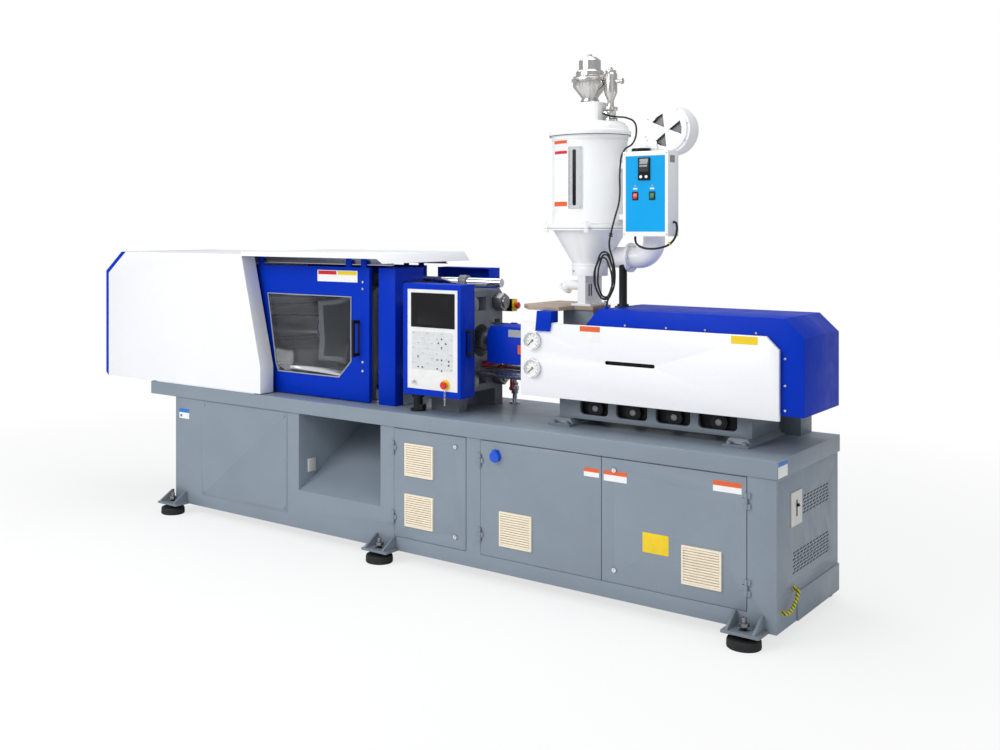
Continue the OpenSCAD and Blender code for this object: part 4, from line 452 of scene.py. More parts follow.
greyPaint = coated("greyPowderCoat", srgb(134, 146, 158), 0.45)
bluePaint = coated("blueEnamel", srgb(0, 51, 186), 0.42, coat=0.0)
bluePaint.set("Specular IOR Level", 0.09)
whitePaint = coated("whiteEnamel", srgb(246, 247, 250), 0.36, coat=0.2, tone=0.015)
castPaint = coated("greyCastingPaint", srgb(120, 130, 140), 0.5, grain=3, depth=0.25)
platenPaint = coated("platenPaint", srgb(112, 117, 122), 0.42, grain=2, depth=0.1)
dryerPaint = coated("dryerEnamel", srgb(249, 250, 250), 0.34, coat=0.2, tone=0.015)
dryerBlue = coated("dryerPanelBlue", srgb(0, 166, 234), 0.4, coat=0.05)
dryerBlue.set("Specular IOR Level", 0.15)
tanPaint = coated("tanPrimer", srgb(178, 158, 140), 0.55, grain=2, tone=0.1)
motorPaint = coated("motorPaint", srgb(66, 74, 84), 0.5)
blackPaint = coated("blackPaint", srgb(26, 27, 29), 0.4, coat=0.05)
blackPaint.set("Specular IOR Level", 0.25)
blackPlastic = moulded("blackPlastic", srgb(20, 20, 22), 0.42)
blackPlastic.set("Specular IOR Level", 0.2)
creamPlastic = moulded("creamPlastic", srgb(250, 238, 214), 0.5)
beigePlastic = moulded("beigePlastic", srgb(226, 224, 216), 0.45)
panelSheet = moulded("panelSheet", srgb(238, 238, 236), 0.4, grain=0.5, depth=0.02)
redPlastic = moulded("redPlastic", srgb(222, 20, 32), 0.3, coat=0.3)
yellowPlastic = moulded("yellowPlastic", srgb(248, 212, 22), 0.4)
orangeSheet = moulded("orangeSheet", srgb(238, 98, 40), 0.42)
greenPlastic = moulded("greenPlastic", srgb(12, 118, 58), 0.35)
socketBlue = moulded("socketBlue", srgb(10, 84, 214), 0.38)
labelWhite = moulded("labelWhite", srgb(248, 248, 246), 0.4)
labelBlue = moulded("labelBlue", srgb(40, 120, 200), 0.4)
hoseRed = moulded("redHose", srgb(212, 26, 34), 0.35)
hoseBlack = moulded("blackHose", srgb(24, 24, 26), 0.55, grain=1.2)
rubber = moulded("footRubber", srgb(28, 28, 29), 0.72, grain=2, depth=0.2)
chrome = metal("polishedChrome", (0.8, 0.81, 0.82, 1), 0.1, streak=(1, 1, 1), size=200, depth=0.0)
brightSteel = metal("groundSteel", (0.6, 0.61, 0.63, 1), 0.25, streak=(1, 30, 30))
stainless = metal("stainlessSteel", (0.66, 0.645, 0.62, 1), 0.22, streak=(1, 1, 40), size=30)
darkSteel = metal("darkSteel", (0.28, 0.28, 0.29, 1), 0.38)
paneClear = clear("polycarbonatePane", (0.93, 0.95, 0.96, 1))
screenGlass = Paint("screenGlass", srgb(40, 42, 46), 0.08, coat=0.6)
screenGlass.set("Roughness", screenGlass.span(screenGlass.noise(40, 3), 0.3, 0.7, 0.06, 0.16))
screenGlass.set("Base Color", screenGlass.mix(screenGlass.noise(70, 2), srgb(34, 36, 40), srgb(62, 64, 70)))
darkMark = moulded("printedMark", srgb(96, 102, 114), 0.5)
screenSheet = moulded("screenSheet", srgb(62, 62, 64), 0.38, grain=0.5, depth=0.01)
keySheet = moulded("keySheet", srgb(220, 222, 222), 0.42)
sealGrey = moulded("sealGrey", srgb(172, 175, 178), 0.5)
frameGrey = moulded("frameGrey", srgb(202, 205, 207), 0.38)
earthYellow = moulded("earthYellow", srgb(226, 200, 30), 0.45)
earthYellow.set("Base Color", earthYellow.mix(
    earthYellow.use("ShaderNodeTexWave", {"bands_direction": "DIAGONAL"},
                    {"Vector": earthYellow.place(), "Scale": 22.0}, output=1) > 0.62,
    srgb(232, 206, 34), srgb(20, 110, 50)))
gauze = metal("intakeGauze", (0.22, 0.22, 0.23, 1), 0.45)
threads = 2200.0  # radians a metre, so about one thread in 2.9 mm
across, along, up = gauze.axes()
weave = up.sum("SINE", across * threads) * up.sum("SINE", up * threads)
gauze.set("Base Color", gauze.mix(gauze.span(weave, -0.2, 0.2), (0.03, 0.03, 0.03, 1), (0.3, 0.3, 0.31, 1)))


def number(text, height, place):
    # small printed figure on a face toward -Y
    clearSelection()
    bpy.ops.object.text_add(location=(0, 0, 0))
    piece = bpy.context.object
    piece.data.body = text
    piece.data.size = height * mm
    piece.data.align_x = "CENTER"
    piece.data.align_y = "CENTER"
    piece.data.extrude = 0.05 * mm
    bpy.ops.object.convert(target="MESH")
    piece = bpy.context.object
    piece.rotation_euler = (math.radians(90), 0, 0)
    piece.location = Vector(place) * mm
    return dress(settle(piece), blackPlastic)


print("materials made")


# Camera at the photograph's place, plain studio light and a pale floor

view = {"place": (4400, -5794, 1976.5), "heading": 39.064, "lens": 41.436, "shiftX": 0.1219, "shiftY": -0.1483}
light = {"world": 0.52, "key": 285, "fill": 16, "top": 150}

camera = bpy.data.objects.new("camera", bpy.data.cameras.new("camera"))
bpy.context.scene.collection.objects.link(camera)
camera.location = Vector(view["place"]) * mm
camera.rotation_euler = (math.radians(90), 0, math.radians(view["heading"]))
camera.data.sensor_width = 36
camera.data.lens = view["lens"]
camera.data.shift_x = view["shiftX"]
camera.data.shift_y = view["shiftY"]
camera.data.clip_end = 100
bpy.context.scene.camera = camera
bpy.context.scene.view_settings.view_transform = "Standard"

world = bpy.data.worlds.new("studio")
bpy.context.scene.world = world
world.use_nodes = True
tree = world.node_tree
tree.nodes.clear()
out = tree.nodes.new("ShaderNodeOutputWorld")
lit = tree.nodes.new("ShaderNodeBackground")
lit.inputs["Color"].default_value = (0.95, 0.97, 1.0, 1)
lit.inputs["Strength"].default_value = light["world"]
seen = tree.nodes.new("ShaderNodeBackground")
seen.inputs["Color"].default_value = (1, 1, 1, 1)
seen.inputs["Strength"].default_value = 1.0
rays = tree.nodes.new("ShaderNodeLightPath")
anyRay = tree.nodes.new("ShaderNodeMath")
anyRay.operation = "MAXIMUM"
pickRay = tree.nodes.new("ShaderNodeMixShader")
tree.links.new(rays.outputs["Is Camera Ray"], anyRay.inputs[0])
tree.links.new(rays.outputs["Is Transmission Ray"], anyRay.inputs[1])
tree.links.new(anyRay.outputs[0], pickRay.inputs[0])
tree.links.new(lit.outputs[0], pickRay.inputs[1])
tree.links.new(seen.outputs[0], pickRay.inputs[2])
tree.links.new(pickRay.outputs[0], out.inputs[0])


def lamp(name, place, target, size, power, spreadAngle=180):
    data = bpy.data.lights.new(name, "AREA")
    data.shape = "RECTANGLE"
    data.size, data.size_y = size
    data.energy = power
    data.spread = math.radians(spreadAngle)
    piece = bpy.data.objects.new(name, data)
    bpy.context.scene.collection.objects.link(piece)
    piece.location = Vector(place)
    piece.rotation_mode = "QUATERNION"
    piece.rotation_quaternion = (Vector(target) - Vector(place)).to_track_quat("-Z", "Y")
    return piece


lamp("keyLamp", (-1.5, -6.5, 5.0), (0.2, 0, 0.9), (5, 3), light["key"])
lamp("fillLamp", (6.5, -4.0, 3.5), (1.5, 0, 1.0), (3, 3), light["fill"])
lamp("topLamp", (0.5, 0.5, 6.0), (0.2, 0, 0.8), (7, 3), light["top"])

clearSelection()
bpy.ops.mesh.primitive_plane_add(size=60, location=(0, 0, 0))
floor = bpy.context.object
floor.name = "floor"
floorPaint = Paint("paleFloor", (1, 1, 1, 1), 0.9)
floorPaint.set("Base Color", floorPaint.mix(floorPaint.noise(900, 2), (0.9, 0.9, 0.9, 1), (0.92, 0.92, 0.92, 1)))
# the camera sees most of the floor as plain white, all of it far away, and the rest keeps the shadow
plainWhite = {"near": 2.6, "far": 6.0, "least": 0.72}
across, along, up = floorPaint.axes()
reach = (across * across + along * along) ** 0.5
whiteFloor = floorPaint.use("ShaderNodeEmission", {}, {"Color": (1, 1, 1, 1), "Strength": 1.0})
seenFloor = floorPaint.use("ShaderNodeLightPath") * floorPaint.span(
    reach, plainWhite["near"], plainWhite["far"], plainWhite["least"], 1.0)
blend = floorPaint.use("ShaderNodeMixShader", {}, {0: seenFloor, 1: Wire(floorPaint, floorPaint.surface.outputs[0]),
                                                   2: whiteFloor})
floorPaint.feed(floorPaint.tree.nodes["Material Output"].inputs["Surface"], blend)
dress(floor, floorPaint)
print("camera, light and floor made")


def head(paint, centre, axis, radius=6, height=5):
    # socket head cap screw with its hexagon hole
    piece = turned(paint, [(radius, 0), (radius, height * 0.82), (radius * 0.86, height)], (0, 0, 0), vertices=24)
    clearSelection()
    bpy.ops.mesh.primitive_cylinder_add(vertices=6, radius=radius * 0.52 * mm, depth=height * mm,
                                        location=(0, 0, height * mm))
    cut(piece, bpy.context.object)
    return aim(piece, centre, axis)


def nut(paint, centre, axis, radius, height, studRadius=0, studHeight=0):
    # hexagon nut with its corners turned off and a stud's end
    piece = turned(paint, [(radius, 0), (radius, height)], (0, 0, 0), vertices=6)
    bevel(piece, radius * 0.07, 2)
    parts = [piece]
    if studRadius:
        parts.append(turned(paint, [(studRadius, 0), (studRadius, studHeight - studRadius * 0.2),
                                    (studRadius * 0.78, studHeight)], (0, 0, 0), vertices=24))
    return aim(join(parts), centre, axis)


def heads(paint, centres, axis, radius=6, height=5):
    first = Vector(centres[0])
    piece = head(paint, first, axis, radius, height)
    return spread(piece, [Vector(centre) - first for centre in centres])


def label(low, high, base, bands, thick=0.5):
    # sticker on a face toward -Y: a base and plain coloured fields, each as (x0, z0, x1, z1) shares of it
    x0, y, z0 = low
    x1, z1 = high
    parts = [block(base, (x0, y - thick, z0), (x1, y, z1))]
    for paint, a, b, c, d in bands:
        w, h = x1 - x0, z1 - z0
        parts.append(block(paint, (x0 + a * w, y - thick - 0.15, z0 + b * h), (x0 + c * w, y, z0 + d * h)))
    return parts


# Steel base: frame, table, panels and the chute

base = {"edge": 2.5, "tableEdge": 3.0, "panelEdge": 1.2}
coatNode("baseFrame", "bed", "grey_paint", "bed_frame", greyPaint, base["edge"])
coatNode("baseTable", "bed", "grey_paint", "bed_table", greyPaint, base["tableEdge"])
coatNode("basePanels", "bed", "grey_paint", "bed_panels", greyPaint, base["panelEdge"])
print("base made")

# Foot brackets and anti-vibration pads

foot = {"x": (-1714, 121, 2326), "y": 510, "padRadius": 80.7, "nutRadius": 27, "lowerNut": 66, "upperNut": 97}
coatNode("footBrackets", "bed", "cast_paint", "foot_brackets", castPaint, 2.0)
pads = []
for x in foot["x"]:
    for side in (-1, 1):
        y = side * foot["y"]
        r = foot["padRadius"]
        pads.append(turned(rubber, [(r - 5, 0.2), (r - 1, 3), (r, 10), (r - 1, 36), (r - 5, 44)], (x, y, 0)))
        pads.append(turned(blackPaint, [(r - 4, 42), (r - 4, 48), (r - 10, 54), (r * 0.5, 56), (30, 62), (16, 64),
                                        (14, 138)], (x, y, 0)))
        pads.append(nut(darkSteel, (x, y, foot["lowerNut"]), (0, 0, 1), foot["nutRadius"], 16))
        pads.append(nut(darkSteel, (x, y, foot["upperNut"]), (0, 0, 1), foot["nutRadius"], 18, 13, 44))
add("footPads", "bed", "rubber", pads, "foot_pads")
print("feet made")

# Cabinet doors with their filter grilles, hinges, locks and labels

doorFront = -447
hinges = {"left": 181.5, "middle": 795.5, "right": 2314.5, "low": (262, 674), "half": 22}
grille = {"width": 204, "height": 190, "margin": 10}
socketArea = [((868, -485, 660), (940, -446.9, 750))]


def hingeAreas(x):
    half = hinges["half"]
    return [((x - half, -475, z - 8), (x + half, -446.9, z + 86)) for z in hinges["low"]]


def grilleAreas(x, z):
    return [((x - 1, -459, z - 1), (x + grille["width"] + 1, -446.5, z + grille["height"] + 1))]


def grilleCloth(x, z):
    # filter cloth behind the slats
    margin = grille["margin"]
    return block(beigePlastic, (x + margin, doorFront - 0.5, z + margin),
                 (x + grille["width"] - margin, doorFront + 0.8, z + grille["height"] - margin))


add("leftDoor", "left_door", "grey_paint", [
    cadCopy("left_cabinet_door", [greyPaint, (creamPlastic, grilleAreas(267, 518) + grilleAreas(267, 222)),
                                  (blackPaint, hingeAreas(hinges["left"]))], 0.9),
    grilleCloth(267, 518), grilleCloth(267, 222)], "left_cabinet_door")
add("middleDoor", "middle_door", "grey_paint", [
    cadCopy("middle_cabinet_door", [greyPaint, (creamPlastic, grilleAreas(925, 220)),
                                    (blackPaint, hingeAreas(hinges["middle"])),
                                    (socketBlue, socketArea)], 0.9),
    grilleCloth(925, 220)], "middle_cabinet_door")
add("rightDoor", "right_door", "grey_paint", [
    cadCopy("right_cabinet_door", [greyPaint, (creamPlastic, grilleAreas(1989, 220)),
                                   (blackPaint, hingeAreas(hinges["right"]))], 0.9),
    grilleCloth(1989, 220)], "right_cabinet_door")
coatNode("socketCap", "socket_cap", "blue_plastic", "socket_cap", socketBlue, 1.4)
for node in ("left_upper_lock", "left_lower_lock", "right_upper_lock", "right_lower_lock"):
    coatNode(node + "Stud", node, "chrome", node, chrome, 0.7)
add("middleDoorLabels", "middle_door", "white_paint",
    label((1445, doorFront, 676), (1533, 720), labelWhite, [(orangeSheet, 0, 0.55, 1, 1)]))
add("rightDoorLabels", "right_door", "white_paint",
    label((1560, doorFront, 668), (1690, 722), labelWhite, [(orangeSheet, 0, 0.6, 1, 1)])
    + label((2148, doorFront, 700), (2290, 752), labelWhite, [(orangeSheet, 0, 0.55, 1, 1)]))
field = {"low": (1778, 338), "high": (1918, 438), "thick": 0.6}
(left, bottom), (right, top) = field["low"], field["high"]
add("rightDoorField", "right_door", "white_paint", [
    plate(yellowPlastic, [(left, bottom), (right, bottom), (right, top), (left, top)],
          doorFront - field["thick"], doorFront, "XZ", 0.2)])
add("legLabel", "bed", "white_paint",
    label((-1722, -445, 648), (-1622, 716), labelWhite,
          [(labelBlue, 0, 0.6, 1, 1), (labelBlue, 0.1, 0.15, 0.3, 0.4)]))
tableEnd = 2465.6
add("tableLabel", "bed", "white_paint", [
    block(labelWhite, (tableEnd, -450, 798), (tableEnd + 0.8, -326, 876)),
    block(labelBlue, (tableEnd, -449, 852), (tableEnd + 1.1, -327, 875))])
print("doors made")

# Clamp cover with its shade and blue end, fixed guards and rear guard

blueEnd = [((-2600, -500, 1637), (-2290, 500, 1900)), ((-2600, -500, 880), (-2491, 500, 1800))]
add("clampCover", "bed", "white_paint",
    [cadCopy("clamp_cover", [whitePaint, (bluePaint, blueEnd)], 2.0)], "clamp_cover")
coatNode("fixedGuards", "bed", "blue_paint", "fixed_guards", bluePaint, 1.6)
coatNode("rearGuard", "rear_guard", "blue_paint", "rear_safety_door", bluePaint, 1.4)
print("clamp covers made")

# Front safety door with its handle, window, seal and screws

door = {"y": -300, "handle": [((-245, -366, 1150), (-190, -299.9, 1415))], "gasketRadius": 4.5,
        "gasket": [(-1003, 1536), (-277, 1536), (-277, 1132), (-377, 1026), (-905, 1026), (-929, 1085)],
        "screwX": -182, "screwZ": (1633, 1590, 1135, 1080)}
add("frontDoor", "front_guard", "blue_paint",
    [cadCopy("front_safety_door", [bluePaint, (blackPlastic, door["handle"])], 1.2)],
    "front_safety_door")
coatNode("frontDoorPane", "front_guard", "clear_pane", "front_door_window", paneClear, 0.8)
add("frontDoorSeal", "front_guard", "rubber", [
    tube(sealGrey, [(x, door["y"] - 1, z) for x, z in door["gasket"]], door["gasketRadius"], kind="POLY",
         cyclic=True)])
add("frontDoorPlate", "front_guard", "white_paint",
    label((-560, door["y"], 1628), (-225, 1700), labelWhite,
          [(redPlastic, 0.02, 0.62, 0.48, 0.95), (yellowPlastic, 0.52, 0.62, 0.98, 0.95)]))
add("frontDoorScrews", "front_guard", "chrome",
    heads(chrome, [(door["screwX"], door["y"], z) for z in door["screwZ"]], (0, -1, 0), 8, 4))
print("safety door made")

# Platens, tie bars with dark nuts, clamp ram, ejector and slide strips

tieNuts = [((499, -300, 1000), (640, 300, 1600))]
coatNode("fixedPlaten", "bed", "cast_paint", "fixed_platen", platenPaint, 2.5)
coatNode("cylinderPlaten", "bed", "cast_paint", "cylinder_platen", platenPaint, 2.5)
coatNode("movingPlaten", "moving_platen", "cast_paint", "moving_platen", platenPaint, 2.5)
add("tieBars", "bed", "chrome", [cadCopy("tie_bars", [chrome, (darkSteel, tieNuts)], 1.2)], "tie_bars")
coatNode("clampRam", "moving_platen", "chrome", "clamp_ram", chrome, 1.0)
coatNode("ejectorPlate", "ejector", "bright_steel", "ejector", brightSteel, 0.8)
coatNode("guideRails", "bed", "bright_steel", "guide_rails", brightSteel, 1.0)
print("clamp made")

# Control box with its panel, stops, valve, electrical boxes and power unit

panelHinges = [((150, -384, z - 29), (206.4, -359, z + 29)) for z in (1098, 1521)]
panel = {
    "boxHandle": [((618.9, -342, 1212), (676, -314, 1398))],
    "sheet": [((237.5, -391, 1024.5), (597.5, -384.9, 1609.5))],
    "bezel": [((263, -396, 1386), (579, -387.4, 1590))],
    "screen": [((307, -390, 1408), (535, -388.0, 1566))],
    "keys": [((268, -389, 1118), (568, -387.4, 1366))],
    "stopCollar": [((470, -393.6, 1020), (558, -387.4, 1105))],
    "keyCollar": [((270, -395, 1040), (318, -387.4, 1085))]}
boxes = {
    "socketPlates": [((2390, -262, 530), (2463, -110, 698)), ((-700, -370, 400), (-400, -290, 760))],
    "blackParts": [((2395, -195, 573), (2463, -177, 655)), ((451, 234, 1453), (570.5, 298, 1529))],
    "stopCollar": [((569.9, 200, 1440), (576, 300, 1540))]}
coatNode("pedestal", "bed", "black_paint", "control_pedestal", blackPaint, 2.0)
add("controlBox", "control_box", "blue_paint",
    [cadCopy("control_box", [bluePaint, (blackPlastic, panelHinges + panel["boxHandle"])], 2.0)], "control_box")
panelPaints = [bluePaint, (panelSheet, panel["sheet"]), (blackPlastic, panel["bezel"] + panelHinges),
               (screenSheet, panel["screen"]), (keySheet, panel["keys"]), (yellowPlastic, panel["stopCollar"]),
               (chrome, panel["keyCollar"])]
add("controlPanel", "control_panel", "beige_plastic", [cadCopy("control_panel", panelPaints, 0.7)], "control_panel")
coatNode("panelStop", "panel_stop", "red_plastic", "panel_stop", redPlastic, 1.5)
coatNode("keySwitch", "key_switch", "chrome", "key_switch", chrome, 0.6)
coatNode("platenStop", "platen_stop", "red_plastic", "platen_stop", redPlastic, 1.5)
coatNode("valveLever", "valve_lever", "red_plastic", "valve_lever", hoseRed, 1.0)
coatNode("valveBlock", "bed", "chrome", "valve_block", brightSteel, 1.0)
add("electricalBoxes", "bed", "grey_paint", [
    cadCopy("electrical_boxes", [greyPaint, (beigePlastic, boxes["socketPlates"]),
                                 (blackPlastic, boxes["blackParts"]), (yellowPlastic, boxes["stopCollar"])], 0.8)],
    "electrical_boxes")
coatNode("breakerHandle", "breaker_handle", "black_plastic", "breaker_handle", blackPlastic, 1.2)
coatNode("powerUnit", "bed", "motor_paint", "power_unit", motorPaint, 2.0)
print("controls made")

# Injection unit

coatNode("injectionSupports", "bed", "cast_paint", "injection_supports", castPaint, 2.0)
coatNode("injectionBase", "bed", "cast_paint", "injection_base", castPaint, 3.0)
coatNode("injectionHousing", "carriage", "cast_paint", "injection_housing", castPaint, 2.0)
coatNode("injectionCover", "carriage", "blue_paint", "injection_cover", bluePaint, 4.0)
coatNode("sidePanels", "carriage", "white_paint", "side_panels", whitePaint, 2.0)
coatNode("heaterBarrel", "carriage", "barrel_steel", "barrel", stainless, 1.0)
coatNode("nozzleGuard", "nozzle_guard", "blue_paint", "nozzle_guard", bluePaint, 1.5)
coatNode("hopperPlate", "carriage", "tan_paint", "hopper_plate", tanPaint, 1.5)
for node in ("upper_needle", "lower_needle"):
    coatNode(node + "Pointer", node, "black_plastic", node, blackPlastic, 0.3)
print("injection unit made")

# Hopper dryer: sight glass frame, display and post have a finish of their own

dryer = {"sightFrame": [((1210, -224, 2074), (1304, -206.4, 2420))],
         "display": [((1598, -139, 2224), (1666, -127.9, 2346))],
         "pipePost": [((1385, 5, 1503), (1456, 75, 1812))]}
coatNode("hopperThroat", "carriage", "dryer_paint", "hopper_throat", dryerPaint, 1.5)
add("hopperBody", "carriage", "dryer_paint",
    [cadCopy("hopper_body", [dryerPaint, (frameGrey, dryer["sightFrame"])], 1.2)], "hopper_body")
coatNode("hopperLid", "carriage", "dryer_paint", "hopper_lid", dryerPaint, 2.0)
coatNode("vacuumReceiver", "carriage", "bright_steel", "vacuum_receiver", stainless, 1.0)
add("dryerBox", "carriage", "dryer_paint",
    [cadCopy("dryer_box", [dryerPaint, (blackPlastic, dryer["display"])], 1.2)], "dryer_box")
coatNode("blowerCase", "carriage", "dryer_paint", "blower", dryerPaint, 1.5)
add("airPipe", "carriage", "dryer_paint",
    [cadCopy("air_pipe", [dryerPaint, (blackPaint, dryer["pipePost"])], 1.0)], "air_pipe")
coatNode("redRocker", "red_rocker", "red_plastic", "red_rocker", redPlastic, 0.6)
coatNode("greenRocker", "green_rocker", "green_plastic", "green_rocker", greenPlastic, 0.6)
print("dryer made")

# Control panel: marks on the keys and arrow keys

keyPad = {"x": 282, "z": 1353, "stepX": 34, "stepZ": 29, "columns": 9, "rows": 8, "markY": -388.9, "arrowY": -388.6,
          "arrows": [(486, 1324), (463, 1300), (515, 1299), (486, 1275), (455, 1203), (486, 1203), (537, 1198),
                     (537, 1175), (486, 1140), (455, 1151), (316, 1216), (316, 1154), (346, 1154)]}
keys = [(keyPad["x"] + keyPad["stepX"] * i, keyPad["z"] - keyPad["stepZ"] * k)
        for i in range(keyPad["columns"]) for k in range(keyPad["rows"])]
firstX, firstZ = keys[0]
mark = block(darkMark, (firstX - 5, keyPad["markY"], firstZ - 1.5), (firstX + 5, keyPad["markY"] + 0.5, firstZ + 1.5))
add("panelKeyMarks", "control_panel", "black_plastic",
    [spread(mark, [(x - firstX, 0, z - firstZ) for x, z in keys if (x + z) % 3 == 0])])
arrow = turned(blackPlastic, [(5, 0), (5, 0.5), (4.6, 0.7)], (0, 0, 0), (0, -1, 0), 20)
add("panelArrowKeys", "control_panel", "black_plastic",
    [spread(arrow, [(x, keyPad["arrowY"], z) for x, z in keyPad["arrows"]])])
print("panel details made")

# Pressure gauges: printed dial, bezel, rim, ticks and figures

gauge = {"x": 1041, "y": -298, "face": -314, "rim": -288, "z": (1345, 1192), "dialRadius": 44.5, "bezelRadius": 47,
         "start": 225, "sweep": 270, "ticks": 28, "tickEnd": 40, "figures": 8, "figureStep": 20, "figureRadius": 27}
gaugeParts = []
for z in gauge["z"]:
    gaugeParts.append(turned(labelWhite, [(gauge["dialRadius"], 0), (gauge["dialRadius"], 0.8)],
                             (gauge["x"], gauge["y"], z), (0, -1, 0), 64))
    gaugeParts.append(ring(chrome, (gauge["x"], gauge["face"] + 3, z), (0, 1, 0), gauge["bezelRadius"], 3.2, 64, 12))
    gaugeParts.append(turned(chrome, [(50.5, 0), (52, 3), (52, 7), (50.5, 9)], (gauge["x"], gauge["rim"], z),
                             (0, -1, 0), 64))
    for i in range(gauge["ticks"] + 1):
        angle = math.radians(gauge["start"] - gauge["sweep"] * i / gauge["ticks"])
        length, half = (4, 0.5) if i % 4 else (7, 0.9)
        tick = block(blackPlastic, (gauge["tickEnd"] - length, -0.2, -half), (gauge["tickEnd"], 0.2, half))
        tick.data.transform(Matrix.Rotation(-angle, 4, "Y"))
        tick.data.transform(Matrix.Translation(Vector((gauge["x"], gauge["y"] - 0.9, z)) * mm))
        gaugeParts.append(tick)
    for i in range(gauge["figures"]):
        angle = math.radians(gauge["start"] - gauge["sweep"] * i / (gauge["figures"] - 1))
        gaugeParts.append(number(str(i * gauge["figureStep"]), 6.5,
                                 (gauge["x"] + gauge["figureRadius"] * math.cos(angle), gauge["y"] - 1,
                                  z + gauge["figureRadius"] * math.sin(angle))))
add("gaugeDials", "carriage", "chrome", gaugeParts)
print("gauges made")

# White side panel: plain fields and a black sheet of painted shade behind the slot

sheet = {"y": -288, "slotBack": -268, "slot": [(1470, 1234), (1780, 1234), (1780, 1274), (1470, 1274)]}
add("sidePanelLabels", "carriage", "white_paint",
    label((1332, sheet["y"], 1358), (1453, 1441), labelWhite, [(orangeSheet, 0, 0.66, 1, 1)])
    + label((2173, sheet["y"], 1400), (2308, 1440), yellowPlastic, []))
# black sheet behind the slot is painted shade for the dark inside of the panel
add("slotShadeSheet", "carriage", "black_plastic",
    [plate(blackPlastic, sheet["slot"], sheet["slotBack"] - 4, sheet["slotBack"], "XZ", 1)])

# Hopper: plain fields round the drum, sight glass and seams

drum = {"x": 1236, "radius": 208, "low": 1980, "high": 2462, "lidSeal": 2484, "waistSeal": 1968.1, "fieldEnd": -98}


def curved(paint, radius, start, end, low, high, thick=0.6, steps=14):
    # sheet that lies round the drum between two angles
    piece = block(paint, (radius, 0, low), (radius + thick, math.radians(end - start) * radius, high))
    edit(piece)
    for i in range(1, steps):
        at = math.radians(end - start) * radius * i / steps * mm
        bpy.ops.mesh.select_all(action="SELECT")
        bpy.ops.mesh.bisect(plane_co=(0, at, 0), plane_no=(0, 1, 0))
    leave()
    for vertex in piece.data.vertices:
        reach = vertex.co.x
        angle = math.radians(start) + vertex.co.y / (radius * mm)
        vertex.co.x = drum["x"] * mm + reach * math.cos(angle)
        vertex.co.y = reach * math.sin(angle)
    return smooth(piece)


r = drum["radius"]
drumFields = [(orangeSheet, -131, 2437, 2454, 0.6), (labelWhite, -131, 2402, 2434, 0.4),
              (redPlastic, -129, 2380, 2397, 0.6), (orangeSheet, -131, 2090, 2115, 0.6),
              (labelWhite, -131, 2054, 2088, 0.4)]
add("drumLabels", "carriage", "white_paint", [
    curved(paint, r, start, drum["fieldEnd"], low, high, thick) for paint, start, low, high, thick in drumFields])
sight = {"turn": 6, "y": -214, "screwX": 33, "screwZ": (2086, 2247, 2408), "scale": 2098, "step": 6, "lines": 50}
scale = []
for i in range(sight["lines"]):
    z = sight["scale"] + sight["step"] * i
    scale.append(block(darkMark, (-36, sight["y"] - 0.5, z), (-27 if i % 5 else -22, sight["y"] + 0.4, z + 1.6)))
glass = join([block(blackPlastic, (-14, -211, 2092), (8, -208.4, 2402), 0.4),
              block(frameGrey, (-20, -214.6, 2088), (-18.6, -213.6, 2406)),
              heads(chrome, [(side * sight["screwX"], sight["y"], z) for side in (-1, 1) for z in sight["screwZ"]],
                    (0, -1, 0), 3.8, 2.4)] + scale)
glass.data.transform(Matrix.Rotation(math.radians(sight["turn"]), 4, "Z"))
glass.data.transform(Matrix.Translation(Vector((drum["x"], 0, 0)) * mm))
add("sightGlass", "carriage", "clear_pane", [glass])
seams = [(dryerPaint, drum["high"] - 4, r + 1, 3), (dryerPaint, drum["low"] + 16, r + 0.5, 2.2),
         (rubber, drum["lidSeal"], 225, 2.2), (rubber, drum["waistSeal"], 239, 1.7)]
add("drumSeams", "carriage", "dryer_paint", [
    ring(paint, (drum["x"], 0, z), (0, 0, 1), radius, thickness, 96) for paint, z, radius, thickness in seams])
print("hopper details made")

# Throat: slots of its sight bracket, flange screws

throat = {"face": 1264, "slotY": (-66, -40), "slotWidth": 14, "slotLow": 1589, "slotHigh": 1657, "flange": 1547,
          "waist": 1728, "screwRadius": 100, "screwAngle": math.radians(-120)}
add("throatWindow", "carriage", "black_plastic", [
    block(blackPlastic, (throat["face"] - 4.4, y, throat["slotLow"]),
          (throat["face"] - 0.8, y + throat["slotWidth"], throat["slotHigh"])) for y in throat["slotY"]] + [
    heads(chrome, [(throat["face"], y, z) for y in (-74, -19) for z in (1573, 1673)], (1, 0, 0), 3.4, 2.2)])
outward = (math.cos(throat["screwAngle"]), math.sin(throat["screwAngle"]), 0)
add("throatScrews", "carriage", "chrome", [
    heads(chrome, [(x, y, throat["flange"]) for x in (1187, 1285) for y in (-90, 90)], (0, 0, 1), 8, 8),
    heads(chrome, [(drum["x"] + throat["screwRadius"] * outward[0], throat["screwRadius"] * outward[1],
                    throat["waist"])], outward, 6, 5)])

# Dryer box: blue front, rocker frames, lamps, display, vents, screws and air filter

